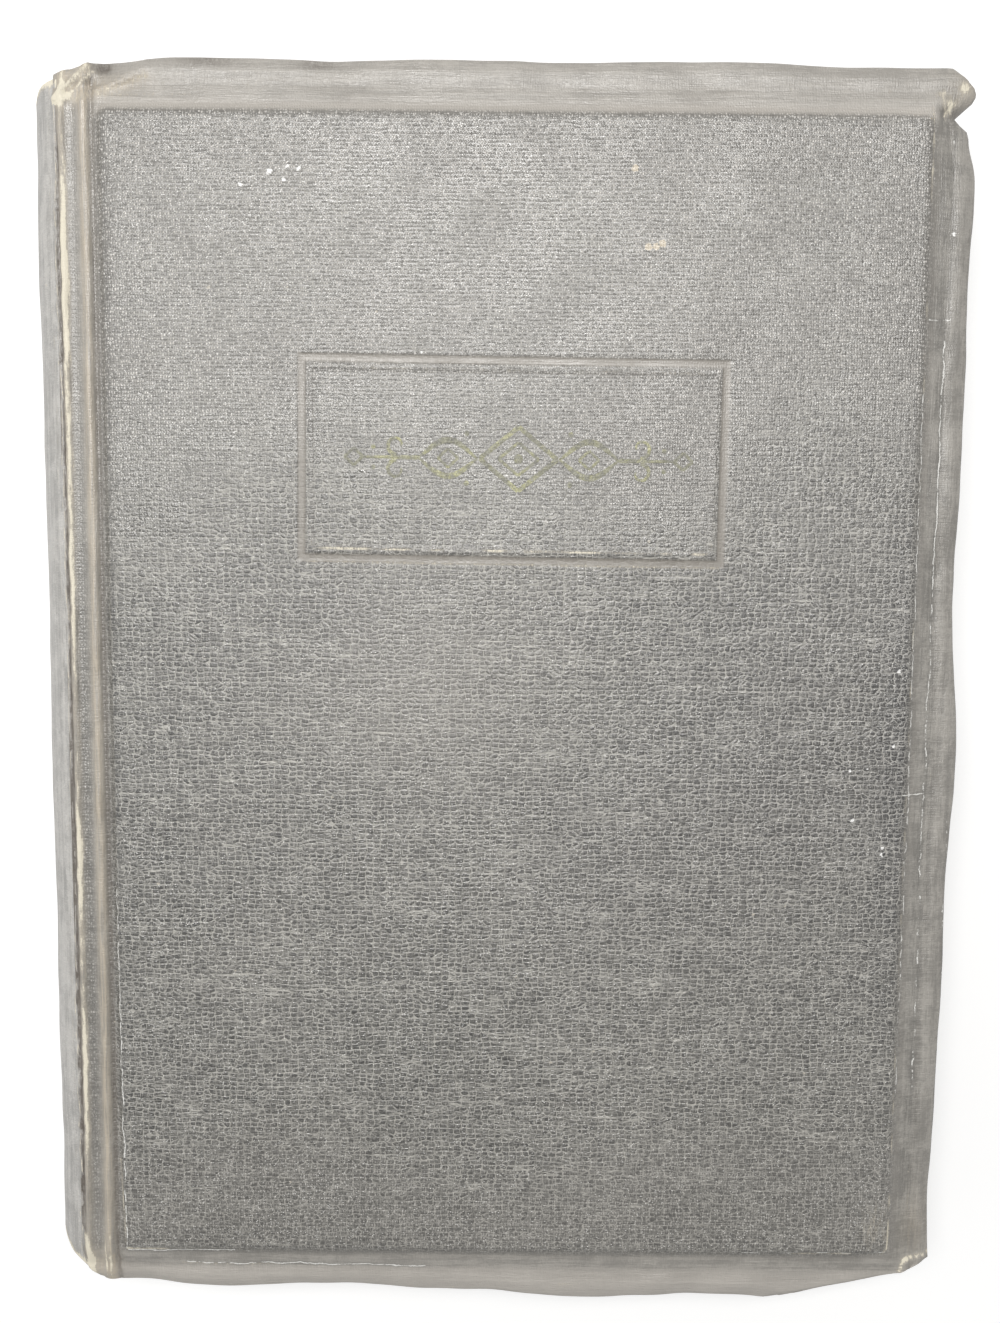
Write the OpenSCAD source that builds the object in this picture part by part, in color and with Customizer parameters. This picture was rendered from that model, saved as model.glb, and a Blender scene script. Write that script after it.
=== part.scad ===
// Photo album bound in imitation leather, lying on its back cover.
// X runs from the spine to the fore-edge, Y from tail to head, Z from back to front.
// The origin is the middle of the footprint, on the surface that the album lies on.

/* [Leaves] */
// Album leaves between the two flyleaves
leaf_count = 24; // [16:1:28]
// Height of a leaf from tail to head
leaf_h = 292; // [220:1:340]
// Width of the stiff part of a leaf, from its cloth hinge to the fore-edge
leaf_w = 180; // [140:1:220]
// Thickness of a leaf
leaf_t = 0.5; // [0.3:0.05:0.6]
// Thickness of a flyleaf
flyleaf_t = 0.3; // [0.2:0.05:0.5]
// Radius on the two fore-edge corners of a leaf
leaf_corner_r = 1.5; // [0.5:0.5:6]

/* [Binding] */
// Thickness of the card stub that carries each leaf
stub_t = 1; // [0.9:0.02:1.2]
// Gap that the paste leaves between two stubs
stub_gap = 0.04; // [0.02:0.01:0.06]
// Width of the stubs in front of the hinge fold
stub_w = 19.2; // [16:0.2:26]
// Stub edge to the axis that a leaf turns on
hinge_in = 4; // [3:0.5:6]
// Leaf axis to the stiff part of the leaf
hinge_out = 15; // [12:0.5:20]
// Thickness of the hinge cloth
cloth_t = 0.2; // [0.1:0.05:0.3]
// Height left without hinge cloth at each end of a leaf
cloth_margin = 2; // [0:0.5:10]
// Diameter of the sewing thread
thread_d = 0.8; // [0.5:0.1:1]
// Clearance round the thread in its holes
thread_clear = 0.35; // [0.2:0.05:0.6]
// Hinge fold to the line of stitches
thread_in = 7.2; // [6:0.2:8]
// Sewing holes along the spine
stitch_count = 7; // [3:2:11]
// Distance between sewing holes
stitch_pitch = 40; // [20:1:42]

/* [Covers] */
// Thickness of the imitation leather
skin_t = 0.8; // [0.6:0.05:1]
// Thickness of the cover board
board_t = 3; // [2.6:0.1:4]
// Thickness of the paper lining and of the turned-in leather
lining_t = 0.4; // [0.3:0.05:0.5]
// Gap between a cover and the leaves
cover_gap = 0.3; // [0.2:0.05:0.8]
// Height of the panel over the soft edges
panel_rise = 2; // [1.2:0.1:2.2]
// Radius along the top of the panel
panel_edge_r = 1.5; // [1:0.1:1.8]
// Radius of the panel corners
panel_corner_r = 2.5; // [2:0.5:8]
// Board beyond the leaves at the fore-edge
square_fore = 3.7; // [2:0.1:8]
// Board beyond the leaves at head and tail
square_end = 6.25; // [3:0.25:10]
// Width of the strip between the hinge fold and the panel
joint_w = 10.4; // [10:0.2:13]
// Running gap at the hinge fold
fold_gap = 0.2; // [0.1:0.05:0.5]

/* [Soft edges] */
// Width of the soft edge beyond the panel
edge_w = 10.8; // [8:0.2:16]
// Fall from the foot of the panel to the crease along the soft edge
edge_fold = 1; // [0:0.1:1.4]
// Droop of the rim below the foot of the panel
edge_droop = 3.3; // [1:0.1:5]
// Leather turned in under the board, inside the panel's edge
turn_in = 8; // [5:0.5:14]
// Radius of the fore-edge corners
rim_corner_r = 4; // [2:0.5:8]
// Clearance round the limp card inside the soft edge
core_clear = 0.1; // [0.05:0.05:0.3]

/* [Tooling] */
// Hinge fold to the bead on the joint strip
bead_in = 6.7; // [5.5:0.1:7]
// Width of that bead
bead_w = 3.2; // [2:0.1:3.6]
// Height of that bead
bead_rise = 0.5; // [0.2:0.1:0.8]
// Width of the groove beside the panel
groove_w = 1; // [0.6:0.1:1.2]
// Depth of that groove
groove_depth = 0.4; // [0.2:0.05:0.5]
// Width of the sunk frame on the front panel
frame_w = 111; // [60:1:150]
// Height of the sunk frame
frame_h = 53; // [30:1:80]
// Middle of the frame above the middle of the panel
frame_up = 64; // [20:1:85]
// Middle of the frame from the middle of the panel, towards the fore-edge
frame_side = -0.5; // [-10:0.5:10]
// Width of the sunk band round the frame
frame_band = 2.1; // [1.2:0.1:3]
// Width of the raised bead inside that band
frame_bead = 1.8; // [1:0.1:2.6]
// Depth of the sunk band and height of the bead
frame_depth = 0.3; // [0.2:0.05:0.4]

/* [Spine] */
// How far the rounded spine stands out from the hinge fold
spine_bulge = 10.4; // [8:0.2:12]
// Thickness of the card that shapes the spine
liner_t = 0.8; // [0.5:0.1:1]
// Thickness of the cloth glued over the stubs
mull_t = 0.4; // [0.2:0.1:0.6]
// Stub left bare of cloth at head and tail
mull_margin = 8; // [2:1:20]
// How far the ends of the spine are pressed in at its middle
spine_end_cut = 6.5; // [2:0.5:10]
// Leather beyond the card at the spine ends
liner_margin = 1.5; // [1:0.5:6]

/* [Hidden] */
$fn = 48;
// Segments across a soft edge and round a panel edge
edge_steps = 8;
round_steps = 4;
// Overrun of a cutting solid
over = 1;

pitch = stub_t + stub_gap;
sheets = leaf_count + 2;
block_h = sheets * pitch;
cover_t = skin_t + board_t + lining_t;
total_t = block_h + 2 * (cover_t + cover_gap);
mid_z = total_t / 2;
block_z = cover_t + cover_gap;
core_t = board_t - panel_rise;
foot_z = total_t - panel_rise;
deep_z = mid_z;

panel_w = stub_w + hinge_in + hinge_out + leaf_w + square_fore - joint_w;
panel_h = leaf_h + 2 * square_end;
total_w = spine_bulge + joint_w + panel_w + edge_w;
total_h = panel_h + 2 * edge_w;
fold_x = -total_w / 2 + spine_bulge;
panel_x0 = fold_x + joint_w;
panel_x1 = panel_x0 + panel_w;
rim_x = total_w / 2;
rim_y = total_h / 2;
stub_x = fold_x + stub_w;
leaf_x = stub_x + hinge_in + hinge_out;
thread_x = fold_x + thread_in;

fold_rise = foot_z - mid_z;
spine_r = (fold_rise * fold_rise + spine_bulge * spine_bulge) / (2 * spine_bulge);
spine_x = -total_w / 2 + spine_r;
stub_r = spine_r - skin_t - liner_t - mull_t;

LEAVES = [for (i = [1 : leaf_count]) leaf_name(i)];

leather_color = "#5b5955";
board_color = "#9a7f58";
card_color = "#a8977a";
lining_color = "#cdbf9f";
cloth_color = "#8d8a80";
thread_color = "#d8cfb8";
leaf_color = "#26241f";

function leaf_name(i) = str("leaf_", i < 10 ? "0" : "", i);
// Sheets count down from the front flyleaf, which is sheet 0.
function sheet_z(i) = block_z + (sheets - i - 0.5) * pitch;
// Height of the soft edge over the foot of the panel, d from the panel's edge.
function edge_rise(d) =
    -edge_fold * (1 - cos(360 * d / edge_w)) / 2 - edge_droop * pow(d / edge_w, 4);
function spine_edge(r, z) = spine_x - sqrt(r * r - pow(z - mid_z, 2));

// Points of a soft edge that leaves the panel at p and runs in direction dir, sunk by drop.
function edge_points(p, dir, drop) =
    [for (i = [0 : edge_steps])
        let (d = edge_w * i / edge_steps)
        [p + dir * d, foot_z + edge_rise(d) - drop]];
// Points round the panel's upper edge at p, from its wall to its top.
function round_points(p, dir, top, r) =
    [for (i = [0 : round_steps])
        let (a = 90 * i / round_steps)
        [p - dir * r * (1 - cos(a)), top - r * (1 - sin(a))]];
function reversed(v) = [for (i = [len(v) - 1 : -1 : 0]) v[i]];

// One half of a cover's section: panel edge and soft edge towards dir.
function half_section(p, dir, inset, top, r, drop) =
    concat(reversed(round_points(p - dir * inset, dir, top, r)), edge_points(p, dir, drop));

// The tooled strip between the fold and the panel, sunk by drop.
function strip_points(drop, tooled) =
    let (
        z = foot_z - drop,
        b = fold_x + bead_in,
        g = panel_x0 - groove_w,
        bead = tooled ? bead_rise : 0,
        groove = tooled ? groove_depth : 0
    )
    [[fold_x + fold_gap, z - (tooled ? bead_rise / 2 : 0)],
     [fold_x + fold_gap + bead_rise, z],
     [b - bead_w / 2, z],
     [b - bead_w / 4, z + bead],
     [b + bead_w / 4, z + bead],
     [b + bead_w / 2, z],
     [g - groove_w / 2, z],
     [g, z - groove],
     [g + groove_w / 2, z]];

// Everything under one surface of the front cover, as a section across the album.
module across(inset, top, r, drop, tooled) {
    rotate([90, 0, 0])
        linear_extrude(total_h + 2 * over, center = true)
            polygon(concat(
                [[fold_x + fold_gap, deep_z]],
                strip_points(drop, tooled),
                round_points(panel_x0 + inset, -1, top, r),
                half_section(panel_x1, 1, inset, top, r, drop),
                [[rim_x, deep_z]]));
}

// The same surface, as a section from tail to head.
module along(inset, top, r, drop) {
    rotate([90, 0, 90])
        linear_extrude(total_w + 2 * over, center = true)
            polygon(concat(
                [[-rim_y, deep_z]],
                reversed(half_section(-panel_h / 2, -1, inset, top, r, drop)),
                half_section(panel_h / 2, 1, inset, top, r, drop),
                [[rim_y, deep_z]]));
}

// Solid under the cover's outer surface, and under the leather's inner one.
module under_outside() {
    intersection() {
        across(0, total_t, panel_edge_r, 0, true);
        along(0, total_t, panel_edge_r, 0);
    }
}
module under_skin() {
    r = panel_edge_r - skin_t / 2;
    intersection() {
        across(skin_t, total_t - skin_t, r, skin_t, false);
        along(skin_t, total_t - skin_t, r, skin_t);
    }
}
// Solid under the flat inner face, which follows the soft edges down, sunk by drop.
module under_flat(drop) {
    low = skin_t + core_t + drop;
    intersection() {
        rotate([90, 0, 0])
            linear_extrude(total_h + 4 * over, center = true)
                polygon(concat(
                    [[fold_x - over, deep_z - over], [fold_x - over, foot_z - low]],
                    edge_points(panel_x1, 1, low),
                    [[rim_x + over, foot_z + edge_rise(edge_w) - low],
                     [rim_x + over, deep_z - over]]));
        rotate([90, 0, 90])
            linear_extrude(total_w + 4 * over, center = true)
                polygon(concat(
                    [[-rim_y - over, deep_z - over],
                     [-rim_y - over, foot_z + edge_rise(edge_w) - low]],
                    reversed(edge_points(-panel_h / 2, -1, low)),
                    edge_points(panel_h / 2, 1, low),
                    [[rim_y + over, foot_z + edge_rise(edge_w) - low],
                     [rim_y + over, deep_z - over]]));
    }
}

// Plan of a cover, drawn in by inset on its three soft sides.
module cover_plan(inset, left) {
    r = max(rim_corner_r - inset, 0.5);
    hull() {
        for (s = [-1, 1])
            translate([rim_x - inset - r, s * (rim_y - inset - r)]) circle(r);
        translate([left, -rim_y + inset]) square([over, total_h - 2 * inset]);
    }
}
module column(low = deep_z - 2 * over) {
    translate([0, 0, low]) linear_extrude(total_t - low + over) children();
}
module board_plan(grow) {
    r = panel_corner_r;
    translate([panel_x0 + skin_t - grow, -panel_h / 2 + skin_t - grow])
        offset(r) offset(-r)
            square([panel_w - 2 * (skin_t - grow), panel_h - 2 * (skin_t - grow)]);
}

// A rectangular band of the frame, inset from the frame's outside.
module frame_ring(inset, width) {
    w = frame_w - 2 * inset;
    h = frame_h - 2 * inset;
    translate([(panel_x0 + panel_x1) / 2 + frame_side, frame_up])
        difference() {
            square([w, h], center = true);
            square([w - 2 * width, h - 2 * width], center = true);
        }
}

module cover_leather(framed) {
    left = fold_x + fold_gap;
    difference() {
        intersection() {
            under_outside();
            column() cover_plan(0, left);
        }
        difference() {
            under_skin_open();
            turned_leather_room();
        }
        if (framed)
            translate([0, 0, total_t - frame_depth])
                linear_extrude(frame_depth + over) frame_ring(0, frame_band);
    }
    if (framed)
        translate([0, 0, total_t - skin_t / 2])
            linear_extrude(skin_t / 2 + frame_depth) frame_ring(frame_band, frame_bead);
}

// The room inside the leather, open below.
module under_skin_open() {
    union() {
        under_skin();
        under_flat(0);
        translate([fold_x - over, -rim_y - over, deep_z - over])
            cube([total_w + 2 * over, total_h + 2 * over, 2 * over]);
    }
}

// The rim and the turned-in leather, which stay when that room is cut out.
module turned_leather_room() {
    difference() {
        union() {
            difference() {
                under_outside();
                column(deep_z - 3 * over) cover_plan(skin_t, fold_x - 2 * over);
            }
            difference() {
                under_flat(0);
                column(deep_z - 3 * over) cover_plan(edge_w + turn_in, fold_x - 2 * over);
            }
        }
        under_flat(lining_t);
    }
}

module cover_board() {
    intersection() {
        difference() {
            under_skin();
            translate([fold_x - over, -rim_y - over, 0])
                cube([total_w + 2 * over, total_h + 2 * over, total_t - skin_t - board_t]);
        }
        column() board_plan(0);
    }
}

module cover_edge_core() {
    difference() {
        intersection() {
            under_skin();
            column() cover_plan(skin_t + core_clear, fold_x + fold_gap);
        }
        under_flat(0);
        column(deep_z - 3 * over)
            translate([fold_x - over, -panel_h / 2 + skin_t - core_clear])
                square([panel_x1 - skin_t + core_clear - fold_x + over,
                        panel_h - 2 * (skin_t - core_clear)]);
    }
}

module cover_lining() {
    end_y = rim_y - edge_w - turn_in - core_clear;
    board_x = panel_x0 + skin_t;
    right = panel_x1 - turn_in - core_clear;
    low = total_t - cover_t;
    strip_z = foot_z - skin_t;
    translate([board_x - lining_t, -end_y, low])
        cube([right - board_x + lining_t, 2 * end_y, lining_t]);
    translate([board_x - lining_t, -end_y, low])
        cube([lining_t, 2 * end_y, strip_z - low]);
    translate([fold_x + 2 * fold_gap, -end_y, strip_z - lining_t])
        cube([board_x - fold_x - 2 * fold_gap, 2 * end_y, lining_t]);
}

// Turns a front cover piece over to the back cover's place.
module back_side() {
    translate([0, 0, total_t]) mirror([0, 0, 1]) children();
}

module front_leatherette() color(leather_color) cover_leather(true);
module front_board() color(board_color) cover_board();
module front_edge_core() color(card_color) cover_edge_core();
module front_lining() color(lining_color) cover_lining();
module back_leatherette() color(leather_color) back_side() cover_leather(false);
module back_board() color(board_color) back_side() cover_board();
module back_edge_core() color(card_color) back_side() cover_edge_core();
module back_lining() color(lining_color) back_side() cover_lining();

// A curved layer of the spine between radius r and r - t, with pressed-in ends.
module spine_layer(r, t, half_h, cut) {
    intersection() {
        rotate([90, 0, 0])
            linear_extrude(total_h, center = true)
                translate([spine_x, mid_z])
                    difference() {
                        circle(r, $fn = 96);
                        circle(r - t, $fn = 96);
                    }
        translate([0, 0, -over])
            linear_extrude(total_t + 2 * over)
                polygon([
                    [fold_x, half_h], [fold_x - spine_bulge - over, half_h - cut],
                    [fold_x - spine_bulge - over, -half_h + cut], [fold_x, -half_h]]);
    }
}
module spine_leatherette() color(leather_color)
    spine_layer(spine_r, skin_t, rim_y, spine_end_cut);
module spine_liner() color(card_color)
    spine_layer(spine_r - skin_t, liner_t, rim_y - liner_margin, spine_end_cut);
module spine_mull() color(cloth_color)
    spine_layer(spine_r - skin_t - liner_t, mull_t, leaf_h / 2 - mull_margin, 0);

function stitch_y(i) = (i - (stitch_count - 1) / 2) * stitch_pitch;
module binding_stubs() color(card_color)
    difference() {
        for (i = [0 : sheets - 1]) {
            z = sheet_z(i);
            reach = abs(z - mid_z) + stub_t / 2;
            left = spine_edge(stub_r - stub_gap, mid_z + reach);
            translate([left, -leaf_h / 2, z - stub_t / 2])
                cube([stub_x - left, leaf_h, stub_t]);
        }
        for (i = [0 : stitch_count - 1])
            translate([thread_x, stitch_y(i), block_z - over])
                cylinder(d = thread_d + 2 * thread_clear, h = block_h + 2 * over);
    }

// A running stitch through all the stubs, above and below them by turns.
module sewing_thread() color(thread_color) {
    low = block_z - thread_d / 2 - stub_gap;
    high = block_z + block_h + thread_d / 2 + stub_gap;
    for (i = [0 : stitch_count - 1])
        translate([thread_x, stitch_y(i), low]) cylinder(d = thread_d, h = high - low);
    for (i = [0 : stitch_count - 1])
        for (z = [low, high])
            translate([thread_x, stitch_y(i), z]) sphere(d = thread_d);
    for (i = [0 : stitch_count - 2])
        translate([thread_x, stitch_y(i), i % 2 == 0 ? high : low])
            rotate([-90, 0, 0]) cylinder(d = thread_d, h = stitch_pitch);
}

module leaf_hinges() color(cloth_color)
    for (i = [0 : sheets - 1])
        translate([stub_x, -leaf_h / 2 + cloth_margin, sheet_z(i) - cloth_t / 2])
            cube([hinge_in + hinge_out, leaf_h - 2 * cloth_margin, cloth_t]);

// A turning sheet with rounded fore-edge corners.
module sheet(i, t) {
    r = leaf_corner_r;
    translate([leaf_x, -leaf_h / 2, sheet_z(i) - t / 2])
        linear_extrude(t)
            union() {
                square([leaf_w - r, leaf_h]);
                translate([0, r]) square([leaf_w, leaf_h - 2 * r]);
                for (y = [r, leaf_h - r]) translate([leaf_w - r, y]) circle(r);
            }
}
module front_flyleaf() color(lining_color) sheet(0, flyleaf_t);
module back_flyleaf() color(lining_color) sheet(sheets - 1, flyleaf_t);
module leaf(i) color(leaf_color) sheet(i, leaf_t);

front_leatherette();
front_board();
front_edge_core();
front_lining();
back_leatherette();
back_board();
back_edge_core();
back_lining();
spine_leatherette();
spine_liner();
spine_mull();
binding_stubs();
sewing_thread();
leaf_hinges();
front_flyleaf();
back_flyleaf();
for (i = [1 : leaf_count])
    leaf(i);
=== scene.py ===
import math

import bpy
import numpy as np
from mathutils import Matrix, Vector


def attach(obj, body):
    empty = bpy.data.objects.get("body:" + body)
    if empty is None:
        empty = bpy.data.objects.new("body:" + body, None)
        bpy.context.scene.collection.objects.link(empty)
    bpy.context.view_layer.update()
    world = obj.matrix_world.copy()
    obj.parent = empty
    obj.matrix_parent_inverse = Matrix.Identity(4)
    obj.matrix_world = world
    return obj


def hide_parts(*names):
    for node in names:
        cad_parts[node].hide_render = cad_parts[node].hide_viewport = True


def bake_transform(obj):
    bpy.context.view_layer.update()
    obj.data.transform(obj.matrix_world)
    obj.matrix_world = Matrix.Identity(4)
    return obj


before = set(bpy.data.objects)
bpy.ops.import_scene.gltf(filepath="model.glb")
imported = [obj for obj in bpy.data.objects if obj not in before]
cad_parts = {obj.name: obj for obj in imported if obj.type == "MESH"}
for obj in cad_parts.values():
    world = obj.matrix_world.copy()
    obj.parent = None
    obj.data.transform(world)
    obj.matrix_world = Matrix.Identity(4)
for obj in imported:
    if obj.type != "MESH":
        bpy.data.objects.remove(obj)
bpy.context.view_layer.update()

MM = 0.001

# Sizes of the album in millimetres, as in the part's source.
TOTAL_T = 36.04
MID_Z = TOTAL_T / 2
PANEL_RISE = 2.0
FOOT_Z = 34.04
COVER_T = 4.2
FOLD_X = -111.15
PANEL_LEFT = -101.3
PANEL_RIGHT = 110.75
PANEL_END = 152.25
EDGE_W = 10.8
SPINE_X = -104.01
SPINE_R = 17.54
SPINE_ANGLE = math.radians(63.6)
STUB_X = -91.95
LEAF_X = -72.95
LEAF_W = 180.0
LEAF_HALF = 146.0
LEAF_T = 0.5
FLYLEAF_T = 0.3
PITCH = 1.04
BLOCK_Z = 4.5
SHEETS = 26
LEAF_NAMES = ["leaf_%02d" % i for i in range(1, SHEETS - 1)]
SHEET_NAMES = ["front_flyleaf"] + LEAF_NAMES + ["back_flyleaf"]


# Camera, lights and floor

def aim(obj, target):
    """Turns a lamp so that it shines on target."""
    direction = Vector(target) - obj.location
    obj.rotation_euler = direction.to_track_quat("-Z", "Y").to_euler()


def set_camera():
    """A camera over the front cover, a little towards the head, as in the photograph."""
    tilt = math.radians(6.1)
    roll = math.radians(0.5)
    place = Vector((0.0017, 0.0486, 0.3751))
    back = Vector((0, math.sin(tilt), math.cos(tilt)))
    right = Vector((1, 0, 0))
    up = Vector((0, math.cos(tilt), -math.sin(tilt)))
    turned_right = right * math.cos(roll) + up * math.sin(roll)
    turned_up = up * math.cos(roll) - right * math.sin(roll)
    camera_data = bpy.data.cameras.new("camera")
    camera_data.sensor_width = 36
    camera_data.lens = 35.37
    camera_data.clip_start = 0.01
    camera = bpy.data.objects.new("camera", camera_data)
    rows = list(zip(turned_right, turned_up, back, place))
    camera.matrix_world = Matrix(rows + [(0, 0, 0, 1)])
    bpy.context.scene.collection.objects.link(camera)
    bpy.context.scene.camera = camera


def add_softbox(name, place, target, size, power, colour=(1, 1, 1)):
    """A large soft lamp. Places and sizes are in metres."""
    data = bpy.data.lights.new(name, "AREA")
    data.shape = "RECTANGLE"
    data.size, data.size_y = size
    data.energy = power
    data.color = colour
    lamp = bpy.data.objects.new(name, data)
    lamp.location = place
    aim(lamp, target)
    bpy.context.scene.collection.objects.link(lamp)


def set_stage():
    """A white floor and plain soft studio light."""
    scene = bpy.context.scene
    scene.view_settings.view_transform = "Standard"
    world = bpy.data.worlds.new("studio")
    scene.world = world
    world.use_nodes = True
    tree = world.node_tree
    tree.nodes.clear()
    out = tree.nodes.new("ShaderNodeOutputWorld")
    room = tree.nodes.new("ShaderNodeBackground")
    room.inputs["Color"].default_value = (0.97, 0.985, 1, 1)
    room.inputs["Strength"].default_value = 0.31
    seen = tree.nodes.new("ShaderNodeBackground")
    seen.inputs["Color"].default_value = (1, 1, 1, 1)
    seen.inputs["Strength"].default_value = 1.0
    path = tree.nodes.new("ShaderNodeLightPath")
    mix = tree.nodes.new("ShaderNodeMixShader")
    tree.links.new(path.outputs["Is Camera Ray"], mix.inputs["Fac"])
    tree.links.new(room.outputs[0], mix.inputs[1])
    tree.links.new(seen.outputs[0], mix.inputs[2])
    tree.links.new(mix.outputs[0], out.inputs[0])

    add_softbox("head_softbox", place=(-0.06, 0.42, 1.1), target=(0, 0.03, 0.03),
                size=(0.8, 0.34), power=10.4, colour=(1, 0.985, 0.96))
    add_softbox("side_softbox", place=(-0.75, 0.05, 0.4), target=(0, 0, 0.02),
                size=(0.9, 0.5), power=1.2)
    add_floor()


def add_floor():
    """A wide white floor that glows away from the album, so that no horizon shows."""
    plane = bpy.data.meshes.new("floor")
    half = 12.0
    plane.from_pydata([(-half, -half, 0), (half, -half, 0), (half, half, 0), (-half, half, 0)],
                      [], [(0, 1, 2, 3)])
    floor = bpy.data.objects.new("floor", plane)
    floor.location.z = -0.0004
    bpy.context.scene.collection.objects.link(floor)
    material = bpy.data.materials.new("white_floor")
    material.use_nodes = True
    tree = material.node_tree
    tree.nodes.clear()
    out = tree.nodes.new("ShaderNodeOutputMaterial")
    paper = tree.nodes.new("ShaderNodeBsdfDiffuse")
    paper.inputs["Color"].default_value = (0.8, 0.8, 0.8, 1)
    glow = tree.nodes.new("ShaderNodeEmission")
    glow.inputs["Color"].default_value = (1, 1, 1, 1)
    place = tree.nodes.new("ShaderNodeTexCoord")
    away = tree.nodes.new("ShaderNodeVectorMath")
    away.operation = "LENGTH"
    rise = tree.nodes.new("ShaderNodeMapRange")
    rise.interpolation_type = "SMOOTHSTEP"
    for label, value in (("From Min", 0.25), ("From Max", 1.1), ("To Min", 0.34),
                         ("To Max", 1.0)):
        rise.inputs[label].default_value = value
    tree.links.new(place.outputs["Object"], away.inputs[0])
    tree.links.new(away.outputs["Value"], rise.inputs["Value"])
    tree.links.new(rise.outputs["Result"], glow.inputs["Strength"])
    path = tree.nodes.new("ShaderNodeLightPath")
    add = tree.nodes.new("ShaderNodeAddShader")
    mix = tree.nodes.new("ShaderNodeMixShader")
    tree.links.new(paper.outputs[0], add.inputs[0])
    tree.links.new(glow.outputs[0], add.inputs[1])
    tree.links.new(path.outputs["Is Camera Ray"], mix.inputs["Fac"])
    tree.links.new(paper.outputs[0], mix.inputs[1])
    tree.links.new(add.outputs[0], mix.inputs[2])
    tree.links.new(mix.outputs[0], out.inputs[0])
    plane.materials.append(material)


set_camera()
set_stage()


# Small mathematics for shapes

class Waves:
    """Smooth unevenness of about one wavelength in millimetres, around zero."""

    def __init__(self, seed, wavelength, count=14):
        draw = np.random.RandomState(seed)
        angle = draw.uniform(0, 2 * np.pi, count)
        length = wavelength * draw.uniform(0.7, 1.6, count)
        self.kx = 2 * np.pi * np.cos(angle) / length
        self.ky = 2 * np.pi * np.sin(angle) / length
        self.phase = draw.uniform(0, 2 * np.pi, count)

    def __call__(self, x, y):
        x, y = np.broadcast_arrays(np.asarray(x, float), np.asarray(y, float))
        total = np.zeros(x.shape)
        for kx, ky, phase in zip(self.kx, self.ky, self.phase):
            total += np.cos(kx * x + ky * y + phase)
        return total / math.sqrt(len(self.kx) / 2)


def ease(value, low, high):
    """0 below low, 1 above high, smooth between."""
    t = np.clip((np.asarray(value, float) - low) / (high - low), 0, 1)
    return t * t * (3 - 2 * t)


def hump(value, middle, width):
    """1 at the middle, fading over width."""
    return np.exp(-((np.asarray(value, float) - middle) / width) ** 2)


def near_line(x, y, start, end, width):
    """1 on the line from start to end, fading over width."""
    start, end = np.array(start, float), np.array(end, float)
    run = end - start
    t = np.clip(((x - start[0]) * run[0] + (y - start[1]) * run[1]) / (run @ run), 0, 1)
    away = np.hypot(x - start[0] - t * run[0], y - start[1] - t * run[1])
    return np.exp(-(away / width) ** 2)


def add_lines(mask, x, y, lines):
    """Adds soft lines to a mask or a height: amount, start, end and width of each."""
    for amount, start, end, width in lines:
        mask = mask + amount * near_line(x, y, start, end, width)
    return mask


def add_dabs(mask, x, y, dabs):
    """Adds soft dabs: amount, middle in X and Y, width in X and Y of each."""
    for amount, middle_x, middle_y, width_x, width_y in dabs:
        mask = mask + amount * hump(x, middle_x, width_x) * hump(y, middle_y, width_y)
    return mask


def toward_middle(y):
    """1 along the joint and less near head and tail, where the crack by the spine closes."""
    return 1 - 0.8 * ease(np.abs(y), 138, 150)


def stations(start, end, step, fine=(), fine_step=0.4):
    """Places from start to end, closer together inside the fine spans."""
    places = [start]
    while places[-1] < end:
        here = places[-1]
        dense = any(a <= here <= b for a, b in fine)
        places.append(here + (fine_step if dense else step))
    places = np.array(places)
    return start + (places - start) * (end - start) / (places[-1] - start)


# Meshes

def new_piece(name, points, faces, material, marks=None, smooth=True):
    """A mesh object from points in millimetres. marks are named numbers for each point."""
    mesh = bpy.data.meshes.new(name)
    points = np.asarray(points, float)
    mesh.from_pydata((points * MM).tolist(), [], faces)
    layer = mesh.attributes.new("rest", "FLOAT_VECTOR", "POINT")
    layer.data.foreach_set("vector", points.astype(np.float32).ravel())
    for mark, values in (marks or {}).items():
        layer = mesh.attributes.new(mark, "FLOAT", "POINT")
        layer.data.foreach_set("value", np.asarray(values, np.float32))
    mesh.materials.append(material)
    if smooth:
        mesh.shade_smooth()
    obj = bpy.data.objects.new(name, mesh)
    bpy.context.scene.collection.objects.link(obj)
    return obj


def grid_faces(columns, rows, first=0, flip=False):
    """Faces of a grid of points, counted column by column."""
    faces = []
    for i in range(columns - 1):
        for j in range(rows - 1):
            a = first + i * rows + j
            b = a + rows
            face = (a, b, b + 1, a + 1)
            faces.append(face[::-1] if flip else face)
    return faces


def layer_faces(columns, rows):
    """Faces of a closed layer: an outer grid of points, then the same grid on the inside."""
    half = columns * rows
    faces = grid_faces(columns, rows) + grid_faces(columns, rows, first=half, flip=True)
    rim = [i * rows for i in range(columns)]
    rim += [(columns - 1) * rows + j for j in range(1, rows)]
    rim += [i * rows + rows - 1 for i in range(columns - 2, -1, -1)]
    rim += list(range(rows - 2, 0, -1))
    for a, b in zip(rim, rim[1:] + rim[:1]):
        faces.append((a, a + half, b + half, b))
    return faces


# Covers

# The mesh is a grid in the middle of the panel and rings round it on three sides. FAN is the
# number of points round a corner, and INNER how far inside the panel's outline the grid ends.
FAN = 26
INNER = 10.0
CORE_X = PANEL_RIGHT - INNER
CORE_Y = PANEL_END - INNER

# The rim of the soft edge is a roll of radius ROLL_R. RIM_D is its distance outside the panel.
ROLL_R = 1.1
RIM_D = EDGE_W - ROLL_R
SOFT_T = 2 * ROLL_R
TURN_IN = 8.0
EDGE_DIP = 0.5
EDGE_DROOP = 3.3
PANEL_CORNER = 2.5

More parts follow.
